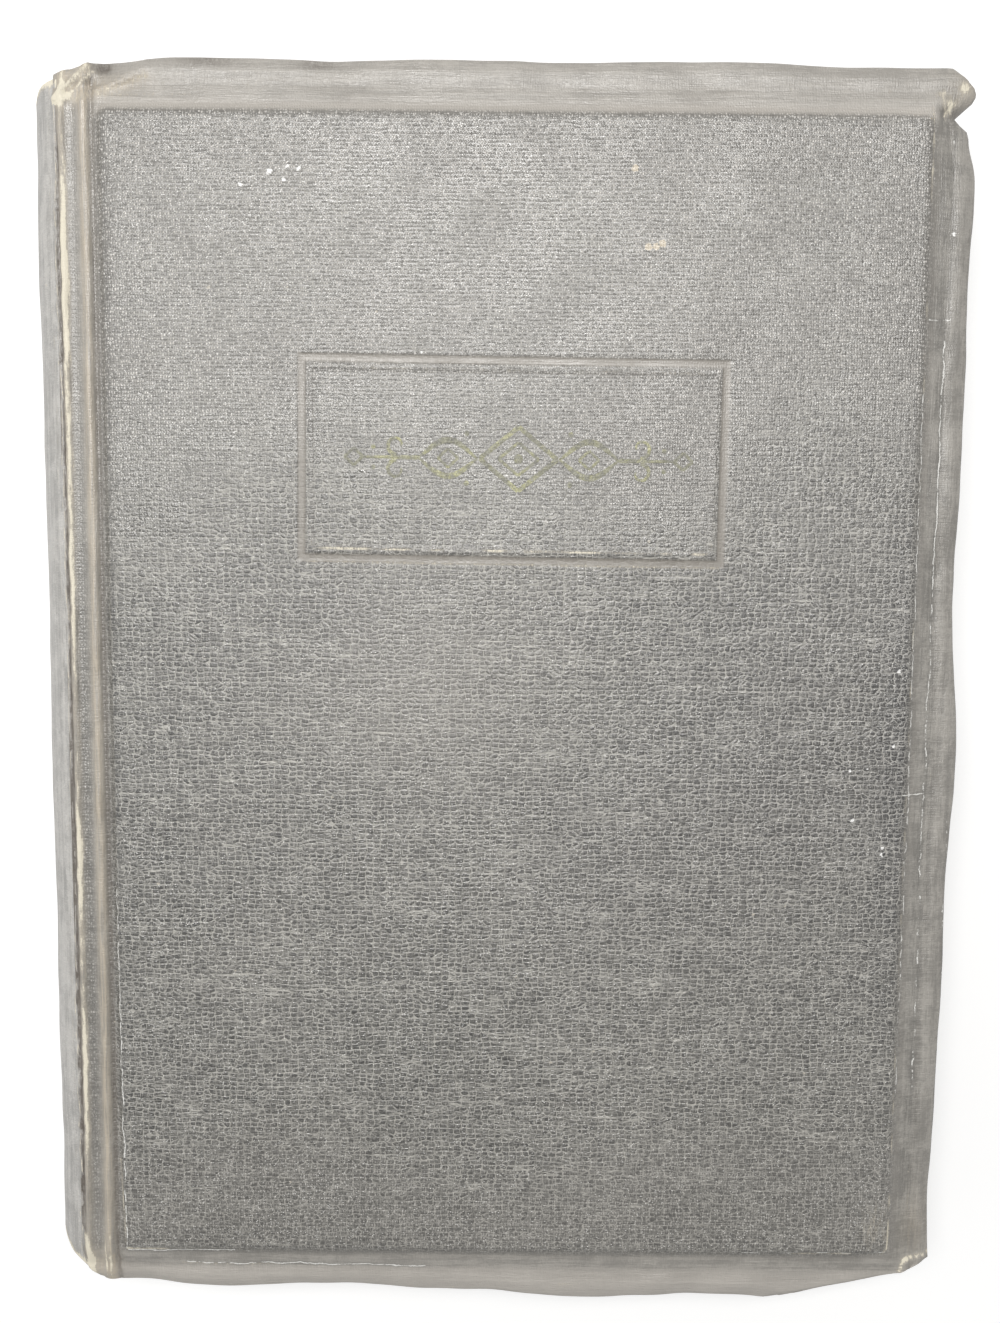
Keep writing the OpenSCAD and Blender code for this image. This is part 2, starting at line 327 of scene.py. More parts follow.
# Rings: distances outside the panel on top, degrees round the rim, and distances below.
TOP_RINGS = [-8.6, -7.2, -5.8, -4.6, -3.6, -2.8, -2.2, -1.8, -1.4, -1.05, -0.7, -0.35, 0,
             0.35, 0.7, 1.2, 1.9, 2.7, 3.5, 4.1, 4.5, 4.9, 5.3, 5.8, 6.5, 7.3, 8.1, 8.9]
ROLL_ANGLES = [0, 25, 50, 75, 90, 105, 130, 155, 180]
UNDER_RINGS = [8.4, 6.5, 4, 1.5, 0.3, -0.8, -3, -6, -TURN_IN]

# The joint strip's tooling, from the spine to the panel.
CRACK_X = -112.1
RIDGE_X = -110.5
TROUGH_X = -108.0
BEAD_X = -104.9
GROOVE_X = -102.9

# The tooled frame: middle, half its width and height, and its slight turn.
FRAME_MIDDLE = (4.5, 64.3)
FRAME_HALF = (55.5, 26.6)
FRAME_TURN = math.radians(-0.5)


def soft_rise(d):
    """Height of the soft edge over the foot of the panel, d outside the panel."""
    d = np.clip(d, 0, EDGE_W)
    u = d / EDGE_W
    crown = 0.14 * hump(d, 7.4, 2.0) * ease(d, 1, 5)
    return -EDGE_DIP * (1 - np.cos(2 * np.pi * u)) - EDGE_DROOP * u ** 4 + crown


def spine_drop(x):
    """How far the spine's round falls below the hinge fold, left of it."""
    x = np.minimum(x, FOLD_X)
    arc = np.sqrt(np.maximum(SPINE_R ** 2 - (x - SPINE_X) ** 2, 0)) + MID_Z
    return arc - FOOT_Z


def frame_place(x, y):
    """Distance inside the tooled frame's outer edge."""
    dx, dy = x - FRAME_MIDDLE[0], y - FRAME_MIDDLE[1]
    u = dx * math.cos(FRAME_TURN) + dy * math.sin(FRAME_TURN)
    v = dy * math.cos(FRAME_TURN) - dx * math.sin(FRAME_TURN)
    return -np.maximum(np.abs(u) - FRAME_HALF[0], np.abs(v) - FRAME_HALF[1])


# Straight cuts across the front cover's crushed corners: a direction in plan and its limit.
CORNER_CUTS = ((0.229, -0.973, 179.9), (0.414, -0.91, 191.2), (-0.65, -0.757, 192.6),
               (-0.3, 0.954, 187.0), (0.66, 0.751, 199.2))

# Folds of the front cover's leatherette at its corners: rise, start, end and width.
CORNER_FOLDS = (
    (1.1, (-112.5, 154), (-103.8, 162), 0.8),
    (0.7, (-109.8, 153.6), (-102.2, 160.8), 0.7),
    (0.8, (-101.5, 155.8), (-89, 161), 1.0),
    (0.5, (114.4, -160), (115.4, -154.4), 0.7),
    (0.5, (115.4, -154.4), (122, -153.2), 0.7),
    (-0.35, (112, 153), (119, 151.6), 0.8))

# Bare rubbed threads at the front cover's corners and along its folds: amount, start, end, width.
RUBBED_LINES = (
    (0.6, (-112.4, 154.1), (-104.2, 162.1), 1.6),
    (0.58, (-110.4, 153.2), (-102.4, 160.8), 0.5),
    (0.55, (-101.5, 155.6), (-88.9, 160.1), 0.7),
    (0.52, (-113, 153.5), (-104, 154.8), 1.3),
    (0.36, (-101, 155), (-78, 155.6), 0.5),
    (0.55, (109.9, 154), (110.2, 138), 0.4),
    (0.64, (-112, -148.7), (-110.4, -156.6), 1.3),
    (0.45, (-112.5, -157), (-107.4, -162.8), 0.9),
    (0.5, (-104.6, -148), (-105.2, -163), 0.5),
    (0.5, (-106.2, -148), (-106.4, -162), 0.35),
    (0.62, (-101.4, -126), (-99.8, -152.5), 0.35),
    (0.62, (-100.2, -152.1), (-89.1, -152), 0.5),
    (0.5, (84, -151.6), (100, -151.3), 0.45),
    (0.48, (-85, -156.9), (-58, -157), 0.4),
    (0.7, (114.2, -157.8), (115.3, -154.1), 0.6),
    (0.85, (115.3, -154.1), (122.3, -152.9), 0.6))

# The same in spots, as amount, place and widths.
RUBBED_DABS = (
    (0.85, 118.2, 158.8, 2.4, 1.8), (0.7, 114.4, 154.6, 2.6, 1.7),
    (0.55, 112.3, 157.2, 1.8, 1.5), (0.3, -107.5, -156.5, 4.5, 4.0),
    (0.38, 106, -143, 6, 9), (0.4, 114, 152.5, 1.2, 1.0), (0.45, 21, -163, 5, 1.0))

# Where the coating is rubbed thin and the tan paper shows through.
TAN_LINES = ((0.6, (-101.5, 155.6), (-88.9, 160.1), 1.2),)
TAN_DABS = ((0.9, -108, 157.5, 6.5, 5), (0.6, -108, -158, 5, 5), (0.45, 118, 158, 4, 4),
            (0.35, 118, -145, 4, 9), (0.3, -96, 158, 9, 3))

# Dirt and painted shade: a painted shadow in the hollow at the head of the hinge, darker
# lines in the folds, and darker places on the panel.
HOLLOW_SHADOW_DABS = ((1.5, -99.9, 162.2, 1.9, 1.5),)
DARK_FOLD_LINES = ((0.45, (-108, 158.2), (-103, 159), 1.0), (0.4, (112, 153), (116.5, 151.8), 0.8))
DARK_PATCH_DABS = ((0.18, -33, 24, 30, 15), (0.18, 26, -45, 30, 20), (0.12, 80, -25, 24, 22))


# Marks of the leatherette, from 0 to 1 at each point: wear where it is rubbed to bare threads,
# and on the frame's raised line a painted highlight drawn as wear; dirt with painted shade in
# cracks, grooves, folds and hollows; tan where its paper shows, soft on the soft edges and the
# strip, tooled on the frame's band, crazed where the coating is dry and cracked; faded, with a
# painted sheen at the head and painted light on the panel's edge slopes; upright where creases
# run from tail to head, and deep where the pebbles are darker.
class CoverForm:
    """The outside of one cover: raised panel, tooled strip, soft edges and their wear."""

    def __init__(self, seed, front):
        self.front = front
        self.panel_wave = Waves(seed, 85)
        self.panel_ripple = Waves(seed + 1, 24)
        self.edge_wave = Waves(seed + 2, 42)
        self.edge_ripple = Waves(seed + 3, 13)
        self.outline_wave = Waves(seed + 4, 70)
        self.wear_wave = Waves(seed + 5, 9)

    def panel_share(self, x, d):
        """1 on the panel, 0 outside it, with the distance outside its rounded outline."""
        qx = PANEL_LEFT - x + PANEL_CORNER
        qy = d + PANEL_CORNER
        out = (np.hypot(np.maximum(qx, 0), np.maximum(qy, 0))
               + np.minimum(np.maximum(qx, qy), 0) - PANEL_CORNER)
        # The edge beside the joint strip is steeper than the other three.
        steep = ease(qx - qy, -2, 2)
        return ease(-out, -1.3 + 0.75 * steep, 2.2 - 0.55 * steep), out

    def frayed(self, y):
        """How far the frayed fold beside the spine strays from a straight line."""
        return 0.08 * self.wear_wave(0, y * 1.7)

    def strip_relief(self, x, y, d):
        """Tooling of the joint strip: ridge, trough, bead, groove, and the crack by the spine."""
        sway = 0.25 * self.outline_wave(0, y)
        frayed = self.frayed(y)
        ridge = 0.5 * hump(x, RIDGE_X + frayed, 0.8) * (1 + 0.3 * self.wear_wave(0, y * 0.5))
        trough = -0.25 * hump(x, TROUGH_X, 1.3)
        bead = 0.6 * hump(x, BEAD_X + 0.3 * sway, 1.0) * (1 + 0.2 * self.wear_wave(9, y * 0.6))
        bead = bead + 0.1 * hump(x, -105.5 + 0.3 * sway + 0.5 * frayed, 0.25)
        bead = bead + 0.1 * hump(x, -104.4 + 0.3 * sway - 0.5 * frayed, 0.25)
        groove = -0.45 * hump(x, GROOVE_X + 0.2 * sway, 0.6)
        crack = -0.8 * hump(x, CRACK_X + frayed, 0.5) * toward_middle(y)
        return (ridge + trough + bead + groove) * (1 - 0.5 * ease(d, 1, 9)) + crack

    def top(self, x, y, d):
        """Height of the outer surface."""
        share, out = self.panel_share(x, d)
        z = FOOT_Z + soft_rise(d) + spine_drop(x) + self.edge_unevenness(x, y, d)
        # The panel, rubbed down a little towards its edges.
        z = z + PANEL_RISE * share - 0.3 * np.exp(np.minimum(out, 0) / 5) * share
        z = z + share * (0.1 * self.panel_wave(x, y) + 0.035 * self.panel_ripple(x, y))
        z = z + (1 - share) * self.strip_relief(x, y, d) * ease(-x, 100, 101.5)
        if self.front:
            # The frame: a pressed band with a raised line inside it.
            inside = frame_place(x, y)
            band = ease(inside, -0.5, 0.5) * (1 - ease(inside, 1.6, 2.3))
            z = z - 0.17 * band + 0.17 * hump(inside, 3.3, 0.6)
            z = add_lines(z, x, y, CORNER_FOLDS) - self.end_hollow(x, y)
        return z

    def end_hollow(self, x, y):
        """The small hollow where the soft edge is folded in at the head of the hinge."""
        return 1.1 * hump(x, -99.9, 1.9) * hump(y, 161.0, 1.8)

    def edge_unevenness(self, x, y, d):
        """Soft swells of the edge, and a shallow crease along its middle."""
        amount = ease(d, 0.5, 7)
        crease = -0.1 * hump(d, 4.9, 0.8) * (1 + 0.6 * self.edge_ripple(x, y))
        return amount * (0.3 * self.edge_wave(x, y) + 0.12 * self.edge_ripple(x, y)) + crease

    def soft_middle(self, x, y):
        """Height of the top of the rim's roll, without the strip's tooling."""
        d = np.full(np.shape(x), RIM_D)
        return FOOT_Z + soft_rise(d) + spine_drop(x) + self.edge_unevenness(x, y, d)

    def shape(self, x, y, d, roll, across, along):
        """Points in millimetres. roll is the angle round the rim, 0 on top and 180 below."""
        angle = np.radians(roll)
        top = self.top(x, y, d)
        middle = self.soft_middle(x, y)
        at_rim = d >= RIM_D - 1e-6
        below = (FOOT_Z + soft_rise(d) + spine_drop(x) * (d > 0)
                 + self.edge_unevenness(x, y, d) * ease(d, 0, 2) - SOFT_T)
        rolled = middle - ROLL_R + ROLL_R * np.cos(angle)
        rolled = rolled + (top - middle) * (1 + np.cos(angle)) / 2 * (roll > 0)
        z = np.where(roll <= 0, top, np.where(at_rim, rolled, below))
        reach = np.where((roll > 0) & at_rim, ROLL_R * np.sin(angle), 0)
        px = x + across * reach
        py = y + along * reach
        return self.outline(px, py, z, d, across, along)

    def outline(self, x, y, z, d, across, along):
        """Moves the soft edge in plan: uneven outline, pressed corners, the torn notch."""
        k = np.clip(d / RIM_D, 0, 1)
        wave = self.outline_wave(x, y)
        # Growth at the fore-edge, and at tail and head, in millimetres at the rim.
        grow_x = (0.5 + 0.35 * wave) * k * across
        if self.front:
            swell = 0.9 * ease(-y, -30, 20) - 1.0 * hump(y, 106, 20) + 1.1 * hump(y, 3, 22)
            grow_x = grow_x + k * across * swell
            tail = 2.2 * ease(x, -100, -60) * (1 - ease(x, 84, 108)) + 0.6
            tail = tail - 2.2 * hump(x, -48, 30) + 2.0 * hump(x, 26, 16) + 2.6 * hump(x, 86, 10)
            head = 1.1 * ease(x, -98, -82) + 0.8 - 0.2 * ease(x, 60, 80)
        else:
            tail = head = 0.4
        grow_y = np.where(along < 0, -(tail + 0.25 * wave) * np.abs(along),
                          (head + 0.25 * wave) * np.abs(along)) * k
        x = x + grow_x
        y = y + grow_y
        if self.front:
            # The notch near the head of the fore-edge, with its ear, and a flat place lower down.
            right = ease(x, 109, 114)
            x = x - k * right * (4.6 * hump(y, 151.9, 2.3) + 1.9 * hump(y, 146.5, 6)
                                 + 0.8 * hump(y, -137, 12))
            y = y + k * right * 0.8 * hump(y, 155.5, 1.6)
            # The crushed corners, one turned up at the tail and one pressed down at the head.
            for nx, ny, limit in CORNER_CUTS:
                beyond = nx * x + ny * y - limit
                push = np.where(beyond > 0, beyond * 0.93, 0) * ease(k, 0.15, 0.6)
                x, y = x - nx * push, y - ny * push
            z = z + 0.9 * hump(x, 117, 5) * hump(y, -158, 4) * k
            z = z - 0.9 * hump(x, 119, 2.5) * hump(y, 152, 3) * k
        return np.stack([x, y, z], -1)

    def marks(self, x, y, d, roll, px, py):
        """Masks for the finish. px and py are the places after the edge has been shaped."""
        share, out = self.panel_share(x, d)
        rub = self.wear_wave(x, y)
        frayed = self.frayed(y)

        # Worn on the ridge by the spine, along the panel's edge and on the soft edge.
        wear = 0.62 + 0.18 * self.outline_wave(0, y) + 0.22 * hump(y, -10, 24)
        wear = wear + 0.12 * hump(y, 112, 40)
        wide = 0.8 + 0.4 * hump(y, -62, 24) + 0.25 * hump(y, 62, 30) + 0.12 * rub
        wide = wide + 0.45 * hump(y, 112, 40)
        wear = wear * hump(x, RIDGE_X + frayed, wide)
        edge_rub = 0.34 + 0.24 * ease(x, 100, 109) - 0.26 * (x < -99)
        wear = wear + edge_rub * hump(out, -0.7, 0.5) * np.clip(0.5 + 0.4 * rub, 0, 1)
        wear = wear + 0.28 * hump(d, 4.9, 0.5) * np.clip(0.2 + 0.5 * rub, 0, 1)
        wear = wear + 0.3 * hump(d, EDGE_W - 0.4, 0.8) * np.clip(0.1 + 0.4 * rub, 0, 1)

        # Tan on the bead and the ridge.
        tan = 0.9 * hump(x, BEAD_X, 1.3) * (1 - share) + 0.5 * hump(x, -110.7, 1.3)

        # Dirt and painted shade in the crack, painted shade in the groove, weaker towards the head
        # where the light falls, and painted shade at the foot of the panel and in the soft edge's
        # crease.
        dirt_and_shade = 1.2 * ease(-x, 111.2 - frayed, 111.7 - frayed)
        dirt_and_shade = dirt_and_shade * toward_middle(y) * (1 + 0.4 * rub)
        dirt_and_shade = dirt_and_shade + (0.65 - 0.3 * ease(y, 60, 130)) * hump(x, -102.8, 0.8) * (x < -101)
        dirt_and_shade = dirt_and_shade + 0.15 * hump(d, 5.6, 0.8) + 0.12 * hump(out, 0.9, 0.8)
        crazed = np.ones(np.shape(x))
        deep = np.zeros(np.shape(x))
        # Lighter soft edges at head and tail: fading, with a painted sheen at the head.
        faded_and_painted_light = 0.25 * ease(np.abs(y), 151.5, 154)
        tooled = np.zeros(np.shape(x))
        if self.front:
            # Corners and folds: rubbed threads and tan, a painted shadow in the hollow at the head
            # of the hinge, darker folds, and darker places by the rim at the head.
            wear = wear + add_dabs(add_lines(0, px, py, RUBBED_LINES), px, py, RUBBED_DABS)
            tan = tan + add_dabs(add_lines(0, px, py, TAN_LINES), px, py, TAN_DABS)
            dirt_and_shade = add_lines(add_dabs(dirt_and_shade, px, py, HOLLOW_SHADOW_DABS), px, py, DARK_FOLD_LINES)
            rim = hump(d, 9.3, 0.9) * ease(y, 150, 155) * (roll < 100)
            dirt_and_shade = dirt_and_shade + 0.8 * rim * (hump(x, -74, 8) + 0.8 * hump(x, -46, 5))

            # The frame: its band, and a painted highlight, drawn as wear, on its raised line and
            # outer lip, strongest along the tail side, where the raised line faces the light.
            inside = frame_place(x, y)
            tooled = ease(inside, -0.3, 0.3) * (1 - ease(inside, 1.8, 2.3))
            tail_side = ease(-y, -46, -43) * (np.abs(x - FRAME_MIDDLE[0]) < 54)
            frame_highlight = 0.14 + 0.62 * tail_side + 0.25 * ease(y, 84, 87)
            wear = wear + frame_highlight * hump(inside, 3.5, 0.45) * np.clip(0.7 + 0.4 * rub, 0, 1)
            wear = wear + 0.5 * tail_side * hump(inside, 0.0, 0.4)

            # Darker places, darkest towards the fore-edge, and a darker band along the panel's
            # right edge.
            darkening = 0.3 * ease(x, 0, 90) * hump(y, -5, 60)
            darkening = add_dabs(darkening, x, y, DARK_PATCH_DABS)
            dirt_and_shade = dirt_and_shade + 0.35 * darkening * share
            darkening = darkening + 0.3 * hump(x, 108, 7) * hump(y, -15, 85)
            deep = np.clip(1.5 * darkening + 0.08 * hump(y, -15, 60), 0, 1) * share
            # A painted shadow just inside the frame's raised line.
            dirt_and_shade = dirt_and_shade + 0.25 * hump(inside, 4.0, 0.4)

            # The coating is whole in the head half and crazed in the tail half.
            crazed = np.clip(1 - 0.85 * ease(y + 9 * self.panel_wave(x, y), 15, 105), 0, 1)
            crazed = crazed * (1 - 0.4 * ease(-y + 6 * self.panel_wave(x, y), 105, 140))

            # Lighter at the head, along the panel's edge and out on the soft edges: a painted sheen
            # over the head half and on the head's soft edge, painted light on the slopes of the
            # panel's head and right edges, and fading on the other soft edges and in a patch left
            # of the middle.
            faded_and_painted_light = 0.22 * (1 - crazed) * (x < PANEL_RIGHT) + 0.22 * ease(y, 151, 154)
            faded_and_painted_light = faded_and_painted_light + 0.55 * ease(-py, 156.5, 159) + 0.15 * ease(-y, 151.5, 154)
            faded_and_painted_light = faded_and_painted_light + 0.2 * hump(x, -18, 32) * hump(y, 6, 27)
            faded_and_painted_light = faded_and_painted_light + 0.3 * hump(out, 0.2, 1.3) * ease(x, 100, 109)
            faded_and_painted_light = faded_and_painted_light + 0.6 * hump(out, 0.3, 1.2) * ease(y, 149, 152)
            faded_and_painted_light = faded_and_painted_light + 0.15 * ease(px, 116.5, 119)

        soft = np.maximum(ease(out, -1.4, 2.2), ease(roll, 0, 20))
        beside = hump(x, -108.3, 1.9) + ease(x, -103.9, -103)
        soft = soft * (1 - 0.55 * np.clip(beside, 0, 1) * (d < 1) * (x < -100))
        crazed = crazed + (0.25 - crazed) * ease(-x, 103.5, 105)
        upright = 0.7 * ease((x - PANEL_RIGHT) - (np.abs(y) - PANEL_END), -1, 1)
        upright = np.maximum(upright, ease(-x, 101, 102)) * (1 - 0.9 * hump(x, TROUGH_X, 1.7))
        found = {"wear": wear, "dirt_and_shade": dirt_and_shade, "tan": tan, "soft": soft, "tooled": tooled,
                 "crazed": crazed, "faded_and_painted_light": faded_and_painted_light, "upright": upright, "deep": deep}
        return {mark: np.clip(values, 0, 1) for mark, values in found.items()}


def ring_plan(columns, rows, s):
    """Plan of one ring round the cover, s outside the inner field, with its outward share."""
    x, y, across, along = [], [], [], []

    def put(px, py, ax, ay):
        x.extend(px)
        y.extend(py)
        across.extend(ax)
        along.extend(ay)

    r = min(max(0.12 * s + 1.3, 0.01), s * 0.98)
    straight = s - r
    total = 2 * straight + math.pi * r / 2
    fan = []
    for k in range(FAN):
        t = (k + 1) / (FAN + 1) * total
        if t < straight:
            fan.append((t, s))
        elif t > total - straight:
            fan.append((s, total - t))
        else:
            a = (t - straight) / r
            fan.append((straight + r * math.sin(a), straight + r * math.cos(a)))
    zero, one = np.zeros, np.ones
    put(columns, np.full(len(columns), -CORE_Y - s), zero(len(columns)), -one(len(columns)))
    put([CORE_X + a for a, b in fan], [-CORE_Y - b for a, b in fan],
        [a / s for a, b in fan], [-b / s for a, b in fan])
    put(np.full(len(rows), CORE_X + s), rows, one(len(rows)), zero(len(rows)))
    put([CORE_X + a for a, b in fan[::-1]], [CORE_Y + b for a, b in fan[::-1]],
        [a / s for a, b in fan[::-1]], [b / s for a, b in fan[::-1]])
    put(columns[::-1], np.full(len(columns), CORE_Y + s), zero(len(columns)),
        one(len(columns)))
    return (np.array(v) for v in (x, y, across, along))


def cover_skin(name, form, columns, rows, material):
    """The leatherette of one cover: top, rolled rim and turned-in edge in one sheet."""
    gx, gy = np.meshgrid(columns, rows, indexing="ij")
    gx, gy = gx.ravel(), gy.ravel()
    gd = np.maximum(gx - PANEL_RIGHT, np.abs(gy) - PANEL_END)
    zero = np.zeros(len(gx))
    parts = [(gx, gy, gd, zero, zero, zero)]
    nc, nr = len(columns), len(rows)
    faces = grid_faces(nc, nr)
    path = ([i * nr for i in range(nc)] + [(nc - 1) * nr] * FAN
            + [(nc - 1) * nr + j for j in range(nr)] + [(nc - 1) * nr + nr - 1] * FAN
            + [i * nr + nr - 1 for i in range(nc - 1, -1, -1)])
    specs = [(d, 0) for d in TOP_RINGS]
    specs += [(RIM_D, a) for a in ROLL_ANGLES]
    specs += [(d, 180) for d in UNDER_RINGS]
    first = len(gx)
    for d, roll in specs:
        x, y, across, along = ring_plan(columns, rows, INNER + d)
        full = np.full(len(x), float(d))
        parts.append((x, y, full, np.full(len(x), float(roll)), across, along))
        ring = list(range(first, first + len(x)))
        for i in range(len(ring) - 1):
            face = []
            for index in (path[i], ring[i], ring[i + 1], path[i + 1]):
                if index not in face:
                    face.append(index)
            if len(face) > 2:
                faces.append(tuple(face))
        path = ring
        first += len(x)
    x, y, d, roll, across, along = (np.concatenate(v) for v in zip(*parts))
    points = form.shape(x, y, d, roll, across, along)
    marks = form.marks(x, y, d, roll, points[:, 0], points[:, 1])
    if not form.front:
        points[:, 2] = TOTAL_T - points[:, 2]
        faces = [f[::-1] for f in faces]
    return new_piece(name, points, faces, material, marks)


def spine_end(q, head):
    """Half length of the spine at q, 0 at the hinge folds and 1 at the middle of its round."""
    if head:
        return 160.2 - 2.8 * q - 2.1 * q ** 3
    return 159.4 - 7.8 * q - 0.6 * q ** 5


def spine_sheet(name, outer, thickness, inset, material, steps_round, seed, crack):
    """A curved layer of the spine with rounded, turned-in ends.

    outer is its radius, inset how far its ends stay inside the leatherette's, and crack the
    depth of the frayed crack beside the hinge folds. Angles are measured from the spine's middle.
    """
    wave, ripple = Waves(seed, 60), Waves(seed + 1, 15)
    spread = np.linspace(-1, 1, steps_round)
    angles = SPINE_ANGLE * (1 - (1 - np.abs(spread)) ** 1.5) * np.sign(spread)
    half = thickness / 2
    turned_in = 12
    rim = [(half * math.sin(math.pi * k / 8), half * (1 - math.cos(math.pi * k / 8)))
           for k in range(1, 8)]
    points, found = [], []
    for a in angles:
        cos_a = math.cos(a)
        q = (cos_a - math.cos(SPINE_ANGLE)) / (1 - math.cos(SPINE_ANGLE))
        head = spine_end(q, True) - inset - half
        tail = spine_end(q, False) - inset - half
        away = SPINE_ANGLE - abs(a)
        column = [(y, thickness) for y in np.linspace(-tail + turned_in, -tail, 5)]
        column += [(-tail - reach, depth) for reach, depth in rim[::-1]]
        column += [(t * (head if t > 0 else tail), 0.0) for t in np.linspace(-1, 1, 150)]
        column += [(head + reach, depth) for reach, depth in rim]
        column += [(y, thickness) for y in np.linspace(head, head - turned_in, 5)]
        for y, depth in column:
            ragged = 0.05 + 0.012 * float(ripple(y * 2.5, 0)) + 0.009 * float(wave(y, 0))
            ragged = min(max(ragged, 0.02), 0.085)
            ends = float(toward_middle(y))
            fall = -float(soft_rise(abs(y) - PANEL_END)) * (1 - float(ease(away, 0.02, 0.4)))
            if crack:
                dip = crack * ends * (1 - ease(away, ragged * 0.6, ragged))
                uneven = float(0.18 * wave(y, a * 20) + 0.05 * ripple(y, a * 20))
            else:
                dip = uneven = 0
            r = outer - depth - dip - fall + uneven
            points.append((SPINE_X - r * cos_a, y, MID_Z + r * math.sin(a)))
            found.append((min(head - y, y + tail), away, depth, ragged, ends))
    faces = grid_faces(steps_round, len(column), flip=True)
    end_gap, away, depth, ragged, ends = np.array(found).T
    wear = 0.8 * hump(end_gap, 0, 1.4) * (depth < thickness * 0.8)
    wear = wear + 0.62 * hump(away, ragged * 1.25, 0.014)
    wear = wear + 0.3 * hump(away, 0.16, 0.03)
    # Dirt and painted shade in the crack beside the hinge folds.
    dirt_and_shade = ends * (1.0 - ease(away, ragged * 0.8, ragged * 1.1))
    flat = np.zeros(len(points))
    marks = {"wear": np.clip(wear, 0, 1), "dirt_and_shade": np.clip(dirt_and_shade, 0, 1), "soft": flat + 1,
             "tooled": flat, "tan": flat, "crazed": flat + 1, "faded_and_painted_light": flat,
             "upright": flat + 1}
    return new_piece(name, points, faces, material, marks)


# Leaves, hinges and linings

# A sheet lies flat over this share of its width beside its hinge, and waves beyond it.
FLAT_SHARE = 0.15

# Hinge cloth: its thickness, and how far its middle lies above the sheet that it is glued to.
CLOTH_T = 0.12
CLOTH_LIFT = 0.08

# Paper inside the covers, and how far it laps over the turned-in edge.
LINING_T = 0.2
LINING_LAP = 3
JOINT_PAPER_T = 0.16


def sheet_z(i):
    """Height of the middle of sheet i, counted from the front."""
    return BLOCK_Z + (SHEETS - i - 0.5) * PITCH


def flat_sheet(name, x0, x1, y0, y1, middle, thickness, material, seed, wave=0.1,
               ragged=0.25, steps=(30, 44), r=1.5):
    """A closed, slightly wavy sheet of paper, ragged, with corners of radius r at the fore-edge."""
    sway, fine = Waves(seed, 70), Waves(seed + 1, 6)
    points, edge_gap = [], []
    for side in (1, -1):
        for u in np.linspace(0, 1, steps[0]):
            for v in np.linspace(0, 1, steps[1]):
                x = x0 + (x1 - x0) * u
                y = y0 + (y1 - y0) * v
                if u == 1:
                    x += ragged * float(fine(0, y)) * 0.5
                if v in (0, 1):
                    y += ragged * float(fine(x, 0)) * 0.5
                if u > 0.5:
                    corner_x = max(x - (x1 - r), 0)
                    corner_y = max(abs(y - (y0 + y1) / 2) - ((y1 - y0) / 2 - r), 0)
                    far = math.hypot(corner_x, corner_y)
                    if far > r:
                        x -= corner_x * (1 - r / far)
                        y -= math.copysign(corner_y * (1 - r / far), y)
                lift = wave * float(sway(x, y)) * min(u / FLAT_SHARE, 1)
                points.append((x, y, middle + side * thickness / 2 + lift))
                edge_gap.append(min(x1 - x, y - y0, y1 - y))
    return new_piece(name, points, layer_faces(*steps), material, {"edge_gap": edge_gap},
                     smooth=False)


def unfaded(points):
    """Marks for paper or cloth with no faded edge in view."""
    return {"edge_gap": np.full(len(points), 9.0)}


def strip_along(name, profile, y0, y1, thickness, material, seed, rows=60, ragged=0.3):
    """A long strip of cloth or paper from y0 to y1, whose section is a profile in X and Z."""
    fine = Waves(seed, 7)
    line = np.array(profile, float)
    run = np.gradient(line, axis=0)
    normal = np.stack([-run[:, 1], run[:, 0]], -1)
    normal /= np.linalg.norm(normal, axis=1)[:, None]
    ys = np.linspace(y0, y1, rows)
    points = []
    for side in (1, -1):
        for (x, z), (nx, nz) in zip(line, normal):
            for y in ys:
                end = ragged * float(fine(x, 0)) * 0.4 if y in (ys[0], ys[-1]) else 0
                points.append((x + side * nx * thickness / 2, y + end,
                               z + side * nz * thickness / 2))
    return new_piece(name, points, layer_faces(len(line), rows), material, unfaded(points),
                     smooth=False)


# Finishes

